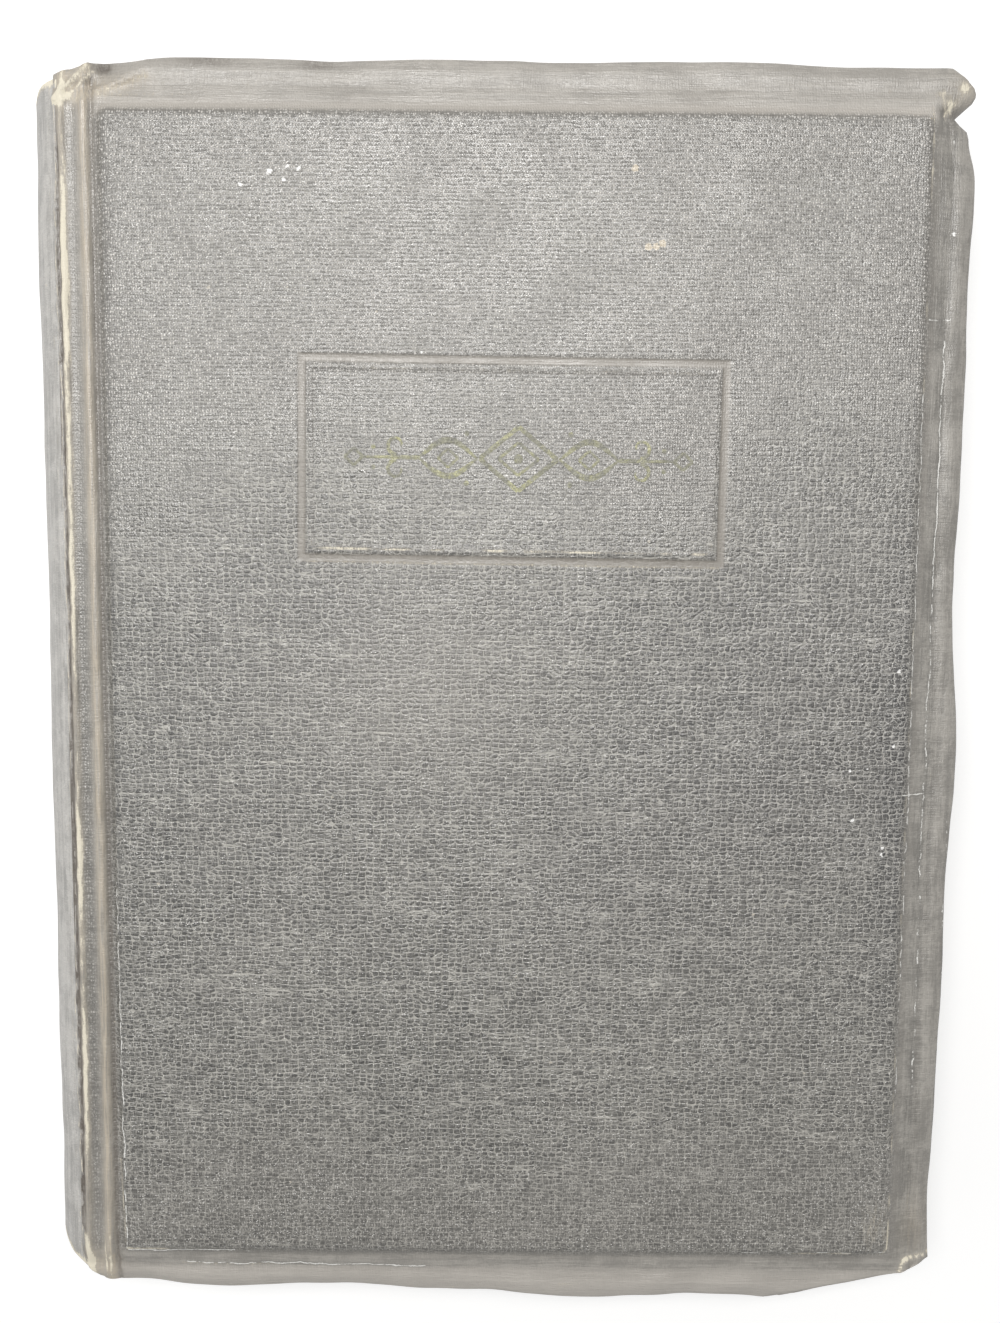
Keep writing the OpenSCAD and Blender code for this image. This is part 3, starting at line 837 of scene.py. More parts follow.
class Wiring:
    """Short ways to add and join shader nodes in one tree."""

    def __init__(self, tree):
        self.tree = tree

    def add(self, kind, values=None, **settings):
        """A new node with values for its sockets and settings of its own."""
        node = self.tree.nodes.new("ShaderNode" + kind)
        for key, value in settings.items():
            setattr(node, key, value)
        for key, value in (values or {}).items():
            self.put(node.inputs[key], value)
        return node

    def put(self, socket, value):
        if isinstance(value, bpy.types.NodeSocket):
            self.tree.links.new(value, socket)
        else:
            socket.default_value = value

    def maths(self, operation, a, b=0.0, c=0.0, clamp=False):
        node = self.add("Math", {0: a, 1: b, 2: c}, operation=operation)
        node.use_clamp = clamp
        return node.outputs[0]

    def span(self, value, low, high, out_low=0.0, out_high=1.0):
        """Smoothly from out_low at low to out_high at high."""
        node = self.add("MapRange", {"Value": value, "From Min": low, "From Max": high,
                                     "To Min": out_low, "To Max": out_high})
        node.interpolation_type = "SMOOTHSTEP"
        return node.outputs["Result"]

    def mix(self, share, a, b, blend="MIX"):
        node = self.add("Mix", data_type="RGBA", blend_type=blend)
        self.put(node.inputs[0], share)
        self.put(node.inputs[6], a)
        self.put(node.inputs[7], b)
        return node.outputs[2]

    def noise(self, place, scale, detail=2.0, roughness=0.5):
        node = self.add("TexNoise", {"Vector": place, "Scale": scale, "Detail": detail,
                                     "Roughness": roughness})
        return node.outputs[0]

    def scaled(self, place, factors):
        return self.add("VectorMath", {0: place, 1: factors}, operation="MULTIPLY").outputs[0]

    def bent(self, place, scale, detail, roughness, amounts):
        """place, pushed about by a noise so that straight lines wander."""
        noise = self.add("TexNoise", {"Vector": place, "Scale": scale, "Detail": detail,
                                      "Roughness": roughness})
        drift = self.add("VectorMath", {0: noise.outputs[1], 1: (0.5, 0.5, 0.5)},
                         operation="SUBTRACT")
        drift = self.scaled(drift.outputs[0], amounts)
        return self.add("VectorMath", {0: place, 1: drift}, operation="ADD").outputs[0]

    def mark(self, name):
        return self.add("Attribute", attribute_name=name).outputs["Fac"]

    def rest(self):
        return self.add("Attribute", attribute_name="rest").outputs["Vector"]

    def solid_place(self):
        """Place in millimetres on a plain solid, which has no named rest places."""
        place = self.add("TexCoord").outputs["Object"]
        return self.scaled(place, (1000, 1000, 1000))


def new_group(name, inputs, outputs):
    """An empty node group with named sockets: (kind, name, default) in, (kind, name) out."""
    group = bpy.data.node_groups.new(name, "ShaderNodeTree")
    for kind, label, default in inputs:
        socket = group.interface.new_socket(label, in_out="INPUT",
                                            socket_type="NodeSocket" + kind)
        if default is not None:
            socket.default_value = default
    for kind, label in outputs:
        group.interface.new_socket(label, in_out="OUTPUT", socket_type="NodeSocket" + kind)
    wiring = Wiring(group)
    start = group.nodes.new("NodeGroupInput")
    end = group.nodes.new("NodeGroupOutput")
    return group, wiring, start, end


def pressed_grain_group():
    """Small rectangular pebbles in rows and pale dust in the net between them,
    with painted highlights: rows of bright bead dots and tiny glints.
    """
    group, w, start, end = new_group(
        "pressed_grain",
        [("Vector", "Place", None), ("Float", "Cell width", 1.6), ("Float", "Cell height", 1.2),
         ("Float", "Crazed", 1.0)],
        [("Float", "Net"), ("Float", "Height"), ("Float", "Cell tone"), ("Float", "Dashes"),
         ("Float", "Bead highlights"), ("Float", "Glints")])
    place = start.outputs["Place"]
    bent = w.bent(place, 0.22, 2.0, 0.5, (1.3, 1.0, 0))
    split = w.add("SeparateXYZ", {0: bent})

    def cell_net(width, height, randomness, line_width):
        """Distance from the border between cells, the line on it, and a colour per cell."""
        u = w.maths("DIVIDE", split.outputs[0], width)
        v = w.maths("DIVIDE", split.outputs[1], height)
        cell_place = w.add("CombineXYZ", {0: u, 1: v}).outputs[0]
        first, second = (
            w.add("TexVoronoi", {"Vector": cell_place, "Scale": 1.0,
                                 "Randomness": randomness},
                  voronoi_dimensions="2D", distance="CHEBYCHEV", feature=feature)
            for feature in ("F1", "F2"))
        border = w.maths("SUBTRACT", second.outputs["Distance"], first.outputs["Distance"])
        return border, w.span(border, 0.0, line_width, 1.0, 0.0), first.outputs["Color"]

    width, height = start.outputs["Cell width"], start.outputs["Cell height"]
    border, line, colour = cell_net(width, height, 0.68, 0.22)
    small_line = cell_net(w.maths("MULTIPLY", width, 0.5), w.maths("MULTIPLY", height, 0.5),
                          0.75, 0.3)[1]
    patch = w.noise(place, 0.42, 3.0)
    net = w.maths("MULTIPLY", line, w.span(patch, 0.36, 0.58, 0.3, 1.0))
    patch = w.noise(place, 0.9, 2.0)
    net = w.maths("MAXIMUM", net,
                  w.maths("MULTIPLY", small_line, w.span(patch, 0.42, 0.66, 0.0, 0.7)))
    for stretch, strength in (((0.1, 0.8, 1), 1.0), ((0.7, 0.16, 1), 0.55)):
        swell = w.noise(w.scaled(bent, stretch), 1.0, 1.0)
        off = w.maths("ABSOLUTE", w.maths("SUBTRACT", swell, 0.5))
        hair = w.span(off, 0.0, 0.03, strength, 0.0)
        patch = w.noise(w.scaled(place, stretch), 0.37, 2.0)
        net = w.maths("MAXIMUM", net,
                      w.maths("MULTIPLY", hair, w.span(patch, 0.45, 0.6, 0.0, 1.0)))
    dash = w.noise(w.scaled(bent, (0.55, 3.0, 1)), 1.0, 2.0, 0.6)
    # Bead highlights: rows of small bright dots on the pebbles, a painted highlight.
    bead = w.add("TexVoronoi", {"Vector": w.scaled(bent, (1.5, 1.05, 1)), "Scale": 1.0,
                                "Randomness": 0.3}, voronoi_dimensions="2D")
    bead_size = w.add("SeparateColor", {0: bead.outputs["Color"]}).outputs[2]
    bead_dot = w.span(bead.outputs["Distance"], 0.1, 0.48, 1.0, 0.0)
    bead_highlights = w.maths("MULTIPLY", bead_dot, w.maths("POWER", bead_size, 1.7))
    row_gap = w.maths("PINGPONG", w.maths("MULTIPLY", split.outputs[1], 1.05), 0.5)
    row_gap = w.maths("MULTIPLY", w.span(row_gap, 0.0, 0.2, 1.0, 0.0),
                      w.span(w.noise(w.scaled(place, (0.3, 0.8, 1)), 1.0, 2.0), 0.38, 0.56))
    # Glints: painted highlights on a few pebbles, more of them where the coating is whole.
    glint = w.add("TexVoronoi", {"Vector": w.scaled(place, (1.9, 2.9, 1)), "Scale": 1.0},
                  voronoi_dimensions="2D")
    chance = w.add("SeparateColor", {0: glint.outputs["Color"]}).outputs[1]
    crowd = w.span(w.noise(place, 0.05, 3.0), 0.35, 0.65, 0.985, 0.93)
    crowd = w.maths("SUBTRACT", crowd, w.span(start.outputs["Crazed"], 0.0, 0.8, 0.09, 0.0))
    spot = w.maths("MULTIPLY", w.maths("GREATER_THAN", chance, crowd),
                   w.span(glint.outputs["Distance"], 0.18, 0.4, 1.0, 0.0))
    dome = w.span(border, 0.0, 0.5, 0.0, 1.0)
    fine = w.noise(place, 3.2, 3.0, 0.6)
    rise = w.maths("ADD", w.maths("MULTIPLY", dome, 0.7), w.maths("MULTIPLY", fine, 0.7))
    rise = w.maths("SUBTRACT", rise, w.maths("MULTIPLY", small_line, 0.2))
    dotted = w.maths("ADD", w.maths("MULTIPLY", bead_dot, 0.8), w.maths("MULTIPLY", fine, 0.4))
    dotted = w.maths("SUBTRACT", dotted, w.maths("MULTIPLY", row_gap, 0.5))
    relief = w.add("Mix", {0: start.outputs["Crazed"], 2: dotted, 3: rise}, data_type="FLOAT")
    w.put(end.inputs["Net"], net)
    w.put(end.inputs["Height"], relief.outputs[0])
    w.put(end.inputs["Cell tone"], w.add("SeparateColor", {0: colour}).outputs[0])
    w.put(end.inputs["Dashes"], w.maths("SUBTRACT", w.span(dash, 0.36, 0.64),
                                        w.maths("MULTIPLY", row_gap, 0.7), clamp=True))
    w.put(end.inputs["Bead highlights"], bead_highlights)
    w.put(end.inputs["Glints"], spot)
    return group


def mottling_group():
    """Cloudy light and dark places, and small specks."""
    group, w, start, end = new_group(
        "mottling", [("Vector", "Place", None)],
        [("Float", "Clouds"), ("Float", "Patches"), ("Float", "Specks")])
    place = start.outputs["Place"]
    w.put(end.inputs["Clouds"], w.span(w.noise(place, 0.011, 3.0, 0.55), 0.3, 0.7))
    w.put(end.inputs["Patches"], w.span(w.noise(place, 0.06, 4.0, 0.6), 0.3, 0.7))
    dots = w.add("TexVoronoi", {"Vector": place, "Scale": 0.11, "Randomness": 1.0})
    size = w.span(w.noise(place, 0.9, 2.0), 0.45, 0.7, 0.0, 0.07)
    w.put(end.inputs["Specks"],
          w.maths("LESS_THAN", dots.outputs["Distance"], size))
    return group


def creased_cloth_group():
    """Long soft creases along the edge and the weave of the cloth under a thin coating."""
    group, w, start, end = new_group(
        "creased_cloth", [("Vector", "Place", None), ("Float", "Upright", 0.0)],
        [("Float", "Tone"), ("Float", "Height")])
    place = start.outputs["Place"]
    level = w.noise(w.scaled(place, (0.035, 0.75, 0.3)), 1.0, 3.0, 0.6)
    upright = w.noise(w.scaled(place, (0.75, 0.035, 0.3)), 1.0, 3.0, 0.6)
    crease = w.add("Mix", {0: start.outputs["Upright"], 2: level, 3: upright},
                   data_type="FLOAT")
    ribs = w.maths("ADD", w.noise(w.scaled(place, (2.6, 0.3, 2.6)), 1.0, 2.0, 0.6),
                   w.noise(w.scaled(place, (0.3, 2.8, 2.8)), 1.0, 2.0, 0.6))
    ribs = w.span(ribs, 0.75, 1.25)
    blotch = w.span(w.noise(place, 0.12, 4.0, 0.65), 0.35, 0.65)
    tone = w.maths("ADD", w.maths("MULTIPLY", w.span(crease.outputs[0], 0.34, 0.66), 0.38),
                   w.maths("MULTIPLY", ribs, 0.28))
    w.put(end.inputs["Tone"], w.maths("ADD", tone, w.maths("MULTIPLY", blotch, 0.34)))
    w.put(end.inputs["Height"], w.maths("ADD", crease.outputs[0],
                                        w.maths("MULTIPLY", ribs, 0.25)))
    return group


def broken_wear_group():
    """Turns a smooth wear mask into fibrous, broken bare places along the rubbed lines."""
    group, w, start, end = new_group(
        "broken_wear",
        [("Vector", "Place", None), ("Float", "Wear", 0.0), ("Float", "Streak", 1.0)],
        [("Float", "Bare"), ("Float", "Thin")])
    place = start.outputs["Place"]
    threads = w.noise(w.scaled(place, (1.6, 0.22, 1.6)), 1.0, 4.0, 0.65)
    crumbs = w.noise(place, 1.5, 4.0, 0.7)
    rough = w.maths("ADD", w.maths("MULTIPLY", threads, start.outputs["Streak"]),
                    w.maths("MULTIPLY", crumbs, 0.8))
    rough = w.maths("DIVIDE", rough, w.maths("ADD", start.outputs["Streak"], 0.8))
    rough = w.maths("MULTIPLY_ADD", rough, 1.5, -0.25)
    level = w.maths("ADD", start.outputs["Wear"], rough)
    w.put(end.inputs["Bare"], w.span(level, 0.98, 1.22))
    w.put(end.inputs["Thin"], w.span(level, 0.72, 1.12))
    return group


# Split coating on the front cover: a line in plan from one end to the other, and how much
# of it shows pale threads.
SPLIT_LINES = (
    (109.9, 151, 110.0, 80, 0.42), (110.0, 82, 110.7, -24, 0.54), (110.7, -22, 110.5, -106, 0.5),
    (110.6, -104, 110.5, -149, 0.4), (115.8, 146, 116.1, 104, 0.42),
    (115.6, 96, 115.4, 30, 0.6), (115.4, 28, 115.1, -42, 0.53), (115.2, -40, 115.6, -106, 0.5),
    (122.4, -10, 122.6, -72, 0.46), (-100.6, 26, -100.5, -52, 0.36),
    (-100.5, -50, -99.8, -152, 0.55), (-99.6, -152.4, -70, -152.4, 0.7),
    (-68, -152.5, 62, -152.5, 0.34), (66, -151.6, 110, -151, 0.5),
    (111, 101, 117, 101.5, 0.5), (109, -22.5, 118, -22, 0.5), (-84, -156.4, -18, -157.3, 0.6))


def split_lines_group():
    """Pale threads and a thin shadow along the lines where the coating has split."""
    group, w, start, end = new_group("split_lines", [("Vector", "Place", None)],
                                     [("Float", "Threads"), ("Float", "Shadow")])
    place = start.outputs["Place"]
    height = w.add("SeparateXYZ", {0: place}).outputs[2]
    on_front = w.span(height, 24.0, 26.0)
    flat = w.scaled(place, (1, 1, 0))
    bent = w.bent(flat, 0.16, 4.0, 0.65, (2.6, 2.6, 0))
    broken = w.noise(flat, 0.2, 5.0, 0.75)
    threads = shadow = 0.0
    for ax, ay, bx, by, amount in SPLIT_LINES:
        run = (bx - ax, by - ay, 0)
        length = run[0] ** 2 + run[1] ** 2
        away = w.add("VectorMath", {0: bent, 1: (ax, ay, 0)}, operation="SUBTRACT").outputs[0]
        along = w.add("VectorMath", {0: away, 1: (run[0] / length, run[1] / length, 0)},
                      operation="DOT_PRODUCT").outputs["Value"]
        along = w.maths("ADD", along, 0.0, clamp=True)
        foot = w.add("VectorMath", {0: run, "Scale": along}, operation="SCALE").outputs[0]
        off = w.add("VectorMath", {0: away, 1: foot}, operation="DISTANCE").outputs["Value"]
        line = w.span(off, 0.09, 0.2, 1.0, 0.0)
        shown = w.span(w.maths("ADD", broken, amount), 0.99, 1.07)
        threads = w.maths("MAXIMUM", w.maths("MULTIPLY", line, shown), threads)
        shade = w.span(off, 0.2, 0.85, 1.0, 0.0)
        shadow = w.maths("MAXIMUM", w.maths("MULTIPLY", shade, amount), shadow)
    w.put(end.inputs["Threads"], w.maths("MULTIPLY", threads, on_front))
    w.put(end.inputs["Shadow"], w.maths("MULTIPLY", shadow, on_front))
    return group


# White flecks and cream fibre marks on the front: a place in millimetres and a radius.
WHITE_FLECKS = ((-57.6, 136.2, 36, 0.75), (-53.1, 137.5, 36, 0.45), (-50.3, 136.9, 36, 0.6),
                (-53.9, 134.1, 36, 0.55), (-65, 133, 36, 0.55), (106.5, 10.6, 36, 0.6),
                (-19.1, 91.8, 36, 0.45), (116.6, 122.8, 33.5, 0.6), (106, -9.2, 36, 0.4),
                (94.5, -16.1, 36, 0.4), (99.3, -15.5, 36, 0.35), (95.6, -29.2, 36, 0.4),
                (103.8, -36.8, 36, 0.4), (103.9, -38.6, 36, 0.35), (113.6, 36.8, 34, 0.45))
CREAM_MARKS = ((34.7, 137.7, 36, 1.0), (38.4, 118.4, 36, 1.1), (40.4, 118.6, 36, 1.0),
               (42.0, 119.3, 36, 1.1))


def flecks_group(name, places):
    """Small irregular dabs at given places."""
    group, w, start, end = new_group(name, [("Vector", "Place", None)], [("Float", "Flecks")])
    place = start.outputs["Place"]
    ragged = w.maths("MULTIPLY_ADD", w.noise(place, 1.3, 2.0), 1.6, -0.8)
    found = 0.0
    for x, y, z, radius in places:
        away = w.add("VectorMath", {0: place, 1: (x, y, z)}, operation="DISTANCE")
        near = w.maths("ADD", away.outputs["Value"], ragged)
        dab = w.span(near, radius * 0.7, radius, 1.0, 0.0)
        found = w.maths("MAXIMUM", dab, found)
    w.put(end.inputs["Flecks"], found)
    return group


SPLITS = split_lines_group()
WHITE = flecks_group("white_flecks", WHITE_FLECKS)
CREAM = flecks_group("cream_marks", CREAM_MARKS)
GRAIN = pressed_grain_group()
MOTTLING = mottling_group()
CREASED_CLOTH = creased_cloth_group()
BROKEN_WEAR = broken_wear_group()


# Colours of the leatherette's coating and of what shows where it is worn, with painted
# highlights and painted shade among them.
PATCHY_GREY = (0.2, 0.19, 0.172, 1)
DARK_CELL = (0.04, 0.04, 0.041, 1)
PAINTED_BEAD_HIGHLIGHT = (0.84, 0.8, 0.75, 1)
PALE_NET = (0.54, 0.52, 0.47, 1)
NET_IN_DARK_PLACES = (0.58, 0.56, 0.52, 1)
PAINTED_GLINT = (0.9, 0.89, 0.86, 1)
FADED_AND_PAINTED_LIGHT_TAUPE = (0.52, 0.485, 0.44, 1)
STREAK_GREY = (0.55, 0.53, 0.5, 1)
TOOLED_BROWN = (0.34, 0.3, 0.25, 1)
TAN_PAPER = (0.53, 0.46, 0.36, 1)
FOLD_DIRT_AND_SHADE = (0.11, 0.09, 0.072, 1)
THIN_COATING = (0.52, 0.465, 0.37, 1)
BARE_THREAD = (0.8, 0.74, 0.6, 1)
TAN_SPECK = (0.6, 0.54, 0.44, 1)
CREAM_FIBRE = (0.72, 0.62, 0.47, 1)
SPLIT_SHADOW = (0.12, 0.115, 0.105, 1)
SPLIT_THREAD = (0.88, 0.87, 0.83, 1)
WHITE_FLECK = (0.93, 0.92, 0.9, 1)


def paler(colour, factor):
    return tuple(min(c * factor, 1) for c in colour[:3]) + (1,)


def new_finish(name):
    """An empty material with a Principled surface."""
    material = bpy.data.materials.new(name)
    material.use_nodes = True
    tree = material.node_tree
    tree.nodes.clear()
    w = Wiring(tree)
    out = w.add("OutputMaterial")
    surface = w.add("BsdfPrincipled")
    tree.links.new(surface.outputs[0], out.inputs[0])
    return material, w, surface


def use_group(w, group, values):
    """Places a group in a material with its own values, and gives its outputs."""
    node = w.add("Group", node_tree=group)
    for key, value in values.items():
        w.put(node.inputs[key], value)
    return node.outputs


def leatherette_finish(name, cell, dark, light, edge, streaks=0.0):
    """Faded black imitation leather: dark pebbles, pale net, taupe edges, bare rubbed folds."""
    material, w, surface = new_finish(name)
    place = w.rest()
    soft, tooled, crazed = w.mark("soft"), w.mark("tooled"), w.mark("crazed")
    grain = use_group(w, GRAIN, {"Place": place, "Cell width": cell[0],
                                 "Cell height": cell[1], "Crazed": crazed})
    cloud = use_group(w, MOTTLING, {"Place": place})
    worn = use_group(w, BROKEN_WEAR, {"Place": place, "Wear": w.mark("wear"), "Streak": 1.6})
    cloth = use_group(w, CREASED_CLOTH, {"Place": place, "Upright": w.mark("upright")})
    plain = w.maths("MAXIMUM", soft, tooled)

    # The coating: clouds and patches, a tone for each pebble, short dashes.
    tone = w.mix(cloud["Clouds"], dark, light)
    tone = w.mix(w.maths("MULTIPLY", cloud["Patches"], 0.35), tone, PATCHY_GREY)
    pebbled = w.span(crazed, 0, 1, 0.25, 1.0)
    tone = w.mix(pebbled, tone, w.span(grain["Cell tone"], 0, 1, 0.62, 1.25), "MULTIPLY")
    dashed = w.span(crazed, 0, 1, 0.65, 1.0)
    tone = w.mix(dashed, tone, w.span(grain["Dashes"], 0, 1, 0.6, 1.3), "MULTIPLY")
    tone = w.mix(1.0, tone, w.span(crazed, 0, 1, 0.46, 0.72), "MULTIPLY")
    deep = w.mark("deep")
    tone = w.mix(w.maths("MULTIPLY", deep, 0.85), tone, DARK_CELL)

    # Pale dust in the net of the crazed coating, and painted highlights: bead dots over the
    # whole coating, and glints.
    bead_highlights = w.maths("MULTIPLY", grain["Bead highlights"], w.span(crazed, 0, 1, 1.0, 0.2))
    tone = w.mix(w.maths("MULTIPLY", bead_highlights, w.span(plain, 0, 1, 1.0, 0.3)), tone, PAINTED_BEAD_HIGHLIGHT)
    net_share = w.maths("MULTIPLY", grain["Net"], w.span(plain, 0, 1, 0.84, 0.25))
    net_share = w.maths("MULTIPLY", net_share, w.span(crazed, 0, 1, 0.3, 1.0))
    tone = w.mix(net_share, tone, w.mix(deep, PALE_NET, NET_IN_DARK_PLACES))
    tone = w.mix(w.maths("MULTIPLY", grain["Glints"], w.span(plain, 0, 1, 0.9, 0.0)), tone, PAINTED_GLINT)

    # Soft edges, fading with painted sheen and painted light, and the tooled band.
    tone = w.mix(w.maths("MULTIPLY", soft, 0.75), tone, edge)
    cloth_tone = w.mix(soft, (1, 1, 1, 1), w.span(cloth["Tone"], 0.2, 0.8, 0.75, 1.25))
    tone = w.mix(1.0, tone, cloth_tone, "MULTIPLY")
    tone = w.mix(w.mark("faded_and_painted_light"), tone, FADED_AND_PAINTED_LIGHT_TAUPE)
    fibres = w.noise(w.scaled(place, (2.3, 0.07, 2.3)), 1.0, 3.0, 0.6)
    if streaks:
        tone = w.mix(w.span(fibres, 0.4, 0.65, 0, streaks), tone, STREAK_GREY)
    tone = w.mix(w.maths("MULTIPLY", tooled, 0.5), tone, TOOLED_BROWN)

    # Rubbed paper, dirt and painted shade in folds and hollows, and bare threads, which on the
    # frame's raised line are a painted highlight.
    tan_share = w.maths("MULTIPLY", w.mark("tan"), w.span(fibres, 0.35, 0.6, 0.3, 1.0))
    tone = w.mix(tan_share, tone, TAN_PAPER)
    fray = w.noise(w.scaled(place, (1.3, 0.4, 1.3)), 1.0, 4.0, 0.65)
    fray = w.span(fray, 0.36, 0.56, 0.4, 0.9)
    tone = w.mix(w.maths("MULTIPLY", w.mark("dirt_and_shade"), fray), tone, FOLD_DIRT_AND_SHADE)
    tone = w.mix(w.maths("MULTIPLY", worn["Thin"], 0.5), tone, THIN_COATING)
    tone = w.mix(worn["Bare"], tone, BARE_THREAD)

    # Specks, cream marks, splits and white flecks.
    tone = w.mix(w.maths("MULTIPLY", cloud["Specks"], 0.6), tone, TAN_SPECK)
    cream = use_group(w, CREAM, {"Place": place})["Flecks"]
    tone = w.mix(w.maths("MULTIPLY", cream, 0.75), tone, CREAM_FIBRE)
    splits = use_group(w, SPLITS, {"Place": place})
    tone = w.mix(w.maths("MULTIPLY", splits["Shadow"], 0.45), tone, SPLIT_SHADOW)
    tone = w.mix(w.maths("MULTIPLY", splits["Threads"], 0.95), tone, SPLIT_THREAD)
    tone = w.mix(use_group(w, WHITE, {"Place": place})["Flecks"], tone, WHITE_FLECK)
    w.put(surface.inputs["Base Color"], tone)

    gloss = w.span(cloud["Patches"], 0, 1, 0.29, 0.38)
    gloss = w.maths("ADD", gloss, w.maths("MULTIPLY", plain, 0.08))
    gloss = w.maths("ADD", gloss, w.maths("MULTIPLY", worn["Thin"], 0.25))
    gloss = w.maths("ADD", gloss, w.maths("MULTIPLY", grain["Net"], 0.12), clamp=True)
    w.put(surface.inputs["Roughness"], gloss)
    surface.inputs["Specular IOR Level"].default_value = 1.0
    surface.inputs["IOR"].default_value = 1.62

    height = w.maths("MULTIPLY", grain["Height"], w.span(plain, 0, 1, 1.0, 0.3))
    height = w.maths("ADD", height, w.maths("MULTIPLY", worn["Thin"], -0.5))
    height = w.maths("ADD", height, w.maths("MULTIPLY", cloth["Height"],
                                            w.maths("MULTIPLY", soft, 1.6)))
    bump = w.add("Bump", {"Height": height, "Strength": 1.0, "Distance": 0.00012})
    w.put(surface.inputs["Normal"], bump.outputs[0])
    return material


def worn_gilt_finish():
    """Old gilding, rubbed thin and gone olive, with the leatherette showing through."""
    material, w, surface = new_finish("worn_gilt")
    place = w.rest()
    grain = use_group(w, GRAIN, {"Place": place, "Crazed": 0.3})
    crumbs = w.noise(place, 0.7, 4.0, 0.65)
    left = w.span(w.noise(place, 0.09, 2.0), 0.35, 0.65, 0.3, 1.0)
    kept = w.maths("MULTIPLY", w.span(crumbs, 0.38, 0.62, 0.15, 1.0), left)
    tone = w.mix(kept, (0.2, 0.195, 0.175, 1), (0.43, 0.42, 0.24, 1))
    tone = w.mix(w.maths("MULTIPLY", grain["Net"], 0.5), tone, (0.5, 0.49, 0.4, 1))
    w.put(surface.inputs["Base Color"], tone)
    w.put(surface.inputs["Metallic"], w.maths("MULTIPLY", kept, 0.25))
    surface.inputs["Roughness"].default_value = 0.42
    bump = w.add("Bump", {"Height": grain["Height"], "Strength": 0.8, "Distance": 0.00015})
    w.put(surface.inputs["Normal"], bump.outputs[0])
    return material


def paper_finish(name, colour, edge_colour, fibre=0.12, roughness=0.85):
    """Matt paper, faded towards its edges, with a little fibre."""
    material, w, surface = new_finish(name)
    place = w.rest()
    cloud = use_group(w, MOTTLING, {"Place": place})
    tone = w.mix(w.maths("MULTIPLY", cloud["Clouds"], 0.35), colour, paler(colour, 1.6))
    edge = w.span(w.maths("ADD", w.mark("edge_gap"),
                          w.maths("MULTIPLY", cloud["Patches"], 5.0)), 2.0, 7.0, 1.0, 0.0)
    tone = w.mix(w.maths("MULTIPLY", edge, 0.7), tone, edge_colour)
    hair = w.noise(w.scaled(place, (1.1, 3.2, 2.0)), 1.0, 4.0, 0.7)
    tone = w.mix(w.span(hair, 0.5, 0.75, 0, fibre), tone, edge_colour)
    w.put(surface.inputs["Base Color"], tone)
    surface.inputs["Roughness"].default_value = roughness
    surface.inputs["Specular IOR Level"].default_value = 0.25
    bump = w.add("Bump", {"Height": hair, "Strength": 0.4, "Distance": 0.0001})
    w.put(surface.inputs["Normal"], bump.outputs[0])
    return material


def layered_finish(name, colour, line_colour, layer, roughness=0.85, grain=(1.1, 1.1, 5.0)):
    """Card, cloth or thread seen from its edge: thin layers with dark lines between them."""
    material, w, surface = new_finish(name)
    place = w.solid_place()
    cloud = use_group(w, MOTTLING, {"Place": place})
    height = w.maths("DIVIDE", w.add("SeparateXYZ", {0: place}).outputs[2], layer)
    away = w.maths("PINGPONG", height, 0.5)
    line = w.span(away, 0.04, 0.14, 1.0, 0.0)
    fibre = w.noise(w.scaled(place, grain), 1.0, 4.0, 0.7)
    tone = w.mix(w.maths("MULTIPLY", cloud["Patches"], 0.4), colour, paler(colour, 1.5))
    tone = w.mix(w.span(fibre, 0.42, 0.72, 0, 0.45), tone, paler(colour, 2.2))
    tone = w.mix(w.maths("MULTIPLY", line, 0.75), tone, line_colour)
    w.put(surface.inputs["Base Color"], tone)
    surface.inputs["Roughness"].default_value = roughness
    surface.inputs["Specular IOR Level"].default_value = 0.25
    rise = w.maths("SUBTRACT", fibre, line)
    bump = w.add("Bump", {"Height": rise, "Strength": 0.6, "Distance": 0.00012})
    w.put(surface.inputs["Normal"], bump.outputs[0])
    return material


LEATHER = leatherette_finish(
    "faded_leatherette", cell=(1.85, 1.3), dark=(0.126, 0.123, 0.111, 1),
    light=(0.192, 0.184, 0.167, 1), edge=(0.35, 0.33, 0.298, 1))
# The spine's pale coating is partly rubbed and faded and partly a painted sheen for its bright
# reflection.
SPINE_LEATHER = leatherette_finish(
    "rubbed_spine_leatherette_with_painted_sheen", cell=(1.5, 1.5), dark=(0.39, 0.38, 0.36, 1),
    light=(0.51, 0.5, 0.47, 1), edge=(0.5, 0.485, 0.46, 1), streaks=0.5)
GILT = worn_gilt_finish()
LEAF_PAPER = paper_finish("black_album_paper", (0.035, 0.033, 0.03, 1),
                          (0.16, 0.125, 0.085, 1))
LINING_PAPER = paper_finish("dark_lining_paper", (0.12, 0.11, 0.098, 1),
                            (0.2, 0.17, 0.13, 1))
LIMP_CARD = paper_finish("limp_card", (0.42, 0.33, 0.21, 1), (0.5, 0.42, 0.3, 1))
BOOK_CLOTH = paper_finish("black_book_cloth", (0.07, 0.065, 0.058, 1),
                          (0.14, 0.125, 0.105, 1), 0.3)
STUB_CARD = layered_finish("dark_stub_card", (0.07, 0.062, 0.052, 1), (0.012, 0.01, 0.008, 1),
                           layer=PITCH / 2)
BOARD = layered_finish("binders_board", (0.36, 0.28, 0.17, 1), (0.2, 0.15, 0.09, 1), layer=0.7)
MULL_CLOTH = layered_finish("sized_mull_cloth", (0.08, 0.074, 0.064, 1), (0.02, 0.018, 0.015, 1),
                            layer=0.9, roughness=0.9, grain=(1.4, 1.4, 1.4))
LINEN_THREAD = layered_finish("waxed_linen_thread", (0.5, 0.43, 0.32, 1), (0.26, 0.21, 0.14, 1),
                              layer=0.45, roughness=0.6, grain=(3.0, 3.0, 3.0))


# The album's pieces

COVER_SEEDS = {"front": 11, "back": 41}


